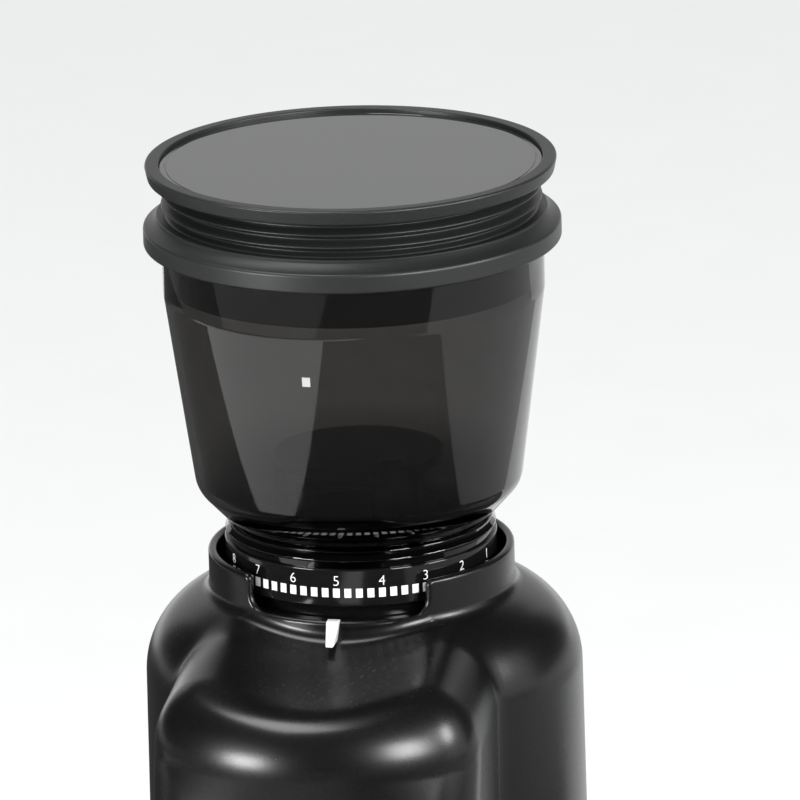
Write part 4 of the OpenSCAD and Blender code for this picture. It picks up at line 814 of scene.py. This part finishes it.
def softbox(name, turned, rise, distance, size, glow, lights=True):
    """Rectangular lamp that faces the hopper, as bright as its glow in a mirror."""
    bpy.ops.object.light_add(type="AREA", location=round_camera(turned, rise, distance))
    lamp = bpy.context.object
    lamp.name = name
    lamp.data.shape = "RECTANGLE"
    lamp.data.size, lamp.data.size_y = size
    # Watts that give an area lamp a radiance of one, for each square metre
    watts = 4
    lamp.data.energy = watts * glow * size[0] * size[1]
    facing = round_camera(0, 0, 0) - lamp.location
    lamp.rotation_euler = facing.to_track_quat("-Z", "Y").to_euler()
    lamp.visible_camera = lamp.visible_transmission = False
    lamp.visible_diffuse = lights


def floor_card(name, turned, reach, length, glow, level):
    """Card on the floor that only reflections show, square to a line turned from the camera."""
    bpy.ops.object.select_all(action="DESELECT")
    bpy.ops.mesh.primitive_plane_add(
        size=1, location=round_camera(turned, 0, sum(reach) / 2, level),
        rotation=(0, 0, math.radians(turned - 90) + CAMERA_SWING),
    )
    card = bpy.context.object
    card.name = name
    card.scale = (reach[1] - reach[0], length, 1)
    material = blank_material(name)
    tree = material.node_tree
    lit = add(tree, "ShaderNodeEmission", {"Color": linear("#f4f4f4"), "Strength": glow})
    add(tree, "ShaderNodeOutputMaterial", {"Surface": lit.outputs["Emission"]})
    dress(card, material)
    card.visible_camera = card.visible_diffuse = False
    card.visible_transmission = card.visible_shadow = False


def eye_rays(tree):
    """Light path, and its rays that reach the eye straight or through clear pieces."""
    path = add(tree, "ShaderNodeLightPath", {})
    eye = add(tree, "ShaderNodeMath", {
        0: path.outputs["Is Camera Ray"], 1: path.outputs["Is Transmission Ray"],
    }, operation="MAXIMUM")
    return path, eye.outputs[0]


def make_floor():
    """Pale painted floor that the eye sees partly lit and partly white, even to the horizon."""
    white_share = 0.6
    bpy.ops.object.select_all(action="DESELECT")
    bpy.ops.mesh.primitive_plane_add(size=30)
    floor = bpy.context.object
    floor.name = "floor"
    material = finish(
        "pale_floor", "#eeefee", "#f1f2f1", (0.8, 0.9), 40, 0.05, Specular_IOR_Level=0.1,
    )
    tree = material.node_tree
    output = tree.nodes["Material Output"]
    painted = output.inputs["Surface"].links[0].from_socket
    path, eye = eye_rays(tree)
    seen = add(tree, "ShaderNodeMath", {
        0: eye, 1: path.outputs["Is Glossy Ray"],
    }, operation="MAXIMUM")
    share = add(tree, "ShaderNodeMath", {
        0: seen.outputs[0], 1: white_share,
    }, operation="MULTIPLY")
    white = add(tree, "ShaderNodeEmission", {"Color": linear("#f1f3f2"), "Strength": 1.0})
    mixed = add(tree, "ShaderNodeMixShader", {
        0: share.outputs[0], 1: painted, 2: white.outputs["Emission"],
    })
    tree.links.new(mixed.outputs["Shader"], output.inputs["Surface"])
    dress(floor, material)


def make_room():
    """Pale even room that lights softly, looks white to the eye and stays dim in reflections."""
    world = bpy.data.worlds.new("pale_room")
    bpy.context.scene.world = world
    world.use_nodes = True
    tree = world.node_tree
    tree.nodes.clear()
    path, eye = eye_rays(tree)
    soft, dim, white = [
        add(tree, "ShaderNodeBackground", {"Color": linear(code), "Strength": strength}).outputs[0]
        for code, strength in (("#f2f3f3", 0.75), ("#f2f3f3", 0.05), ("#eceeed", 1.0))
    ]
    lit = add(tree, "ShaderNodeMixShader", {0: path.outputs["Is Glossy Ray"], 1: soft, 2: dim})
    shown = add(tree, "ShaderNodeMixShader", {0: eye, 1: lit.outputs["Shader"], 2: white})
    add(tree, "ShaderNodeOutputWorld", {"Surface": shown.outputs["Shader"]})


# Lamps: degrees right of the camera, degrees up, metres away, size in metres, glow, lights matt pieces
LAMPS = {
    "left_box": (-49, 7, 1.3, (0.4, 0.3), 25, True),
    "right_box": (34, 22, 1.3, (0.36, 0.42), 21, True),
    "top_left": (-75, 72, 1.4, (0.9, 0.6), 6, True),
    "right_spot": (68, 26, 1.2, (0.34, 0.36), 15, True),
    "right_fill": (78, 14, 1.4, (1.1, 0.9), 0.7, True),
    "left_fill": (-54, 14, 1.4, (0.6, 0.8), 0.5, True),
    "backdrop": (180, 10, 1.6, (2.2, 1.2), 0.58, False),
}
# Floor cards: degrees right of the camera, near and far edge and length in metres, glow, height
CARDS = {
    "dark_card": (0, (-0.3, 4.0), 8.0, 0.1, 0.002),
    "dark_card_left": (-125, (0.25, 2.0), 1.4, 0.1, 0.002),
    "left_card": (-54, (0.475, 0.64), 1.7, 1.3, 0.004),
    "left_far_card": (-54, (0.97, 1.7), 1.7, 0.4, 0.004),
    "right_card": (88, (0.5, 1.4), 1.6, 0.6, 0.004),
}


def make_stage():
    """Pale floor and room, soft lamps at both sides and behind, and cards for the reflections."""
    make_floor()
    make_room()
    for name, values in LAMPS.items():
        softbox(name, *values)
    for name, values in CARDS.items():
        floor_card(name, *values)


def make_camera():
    """Long lens at the photograph's angle: a little right of the front, looking down."""
    back = Vector((
        math.sin(CAMERA_SWING) * math.cos(CAMERA_RISE),
        -math.cos(CAMERA_SWING) * math.cos(CAMERA_RISE),
        math.sin(CAMERA_RISE),
    ))
    right = Vector((math.cos(CAMERA_SWING), math.sin(CAMERA_SWING), 0))
    up = back.cross(right)
    aside, over, away = CAMERA_PLACE
    place = at_axis(0, 0, Z_COLLAR) + (right * aside + up * over + back * away) * MM
    across = right * math.cos(CAMERA_ROLL) + up * math.sin(CAMERA_ROLL)
    turned = Matrix((across, back.cross(across), back)).transposed().to_4x4()
    bpy.ops.object.camera_add()
    camera = bpy.context.object
    camera.matrix_world = Matrix.Translation(place) @ turned
    camera.data.sensor_width = CAMERA_SENSOR
    camera.data.lens = CAMERA_LENS
    camera.data.clip_end = 100
    bpy.context.scene.camera = camera


make_stage()
make_camera()
bpy.context.scene.view_settings.view_transform = "Standard"
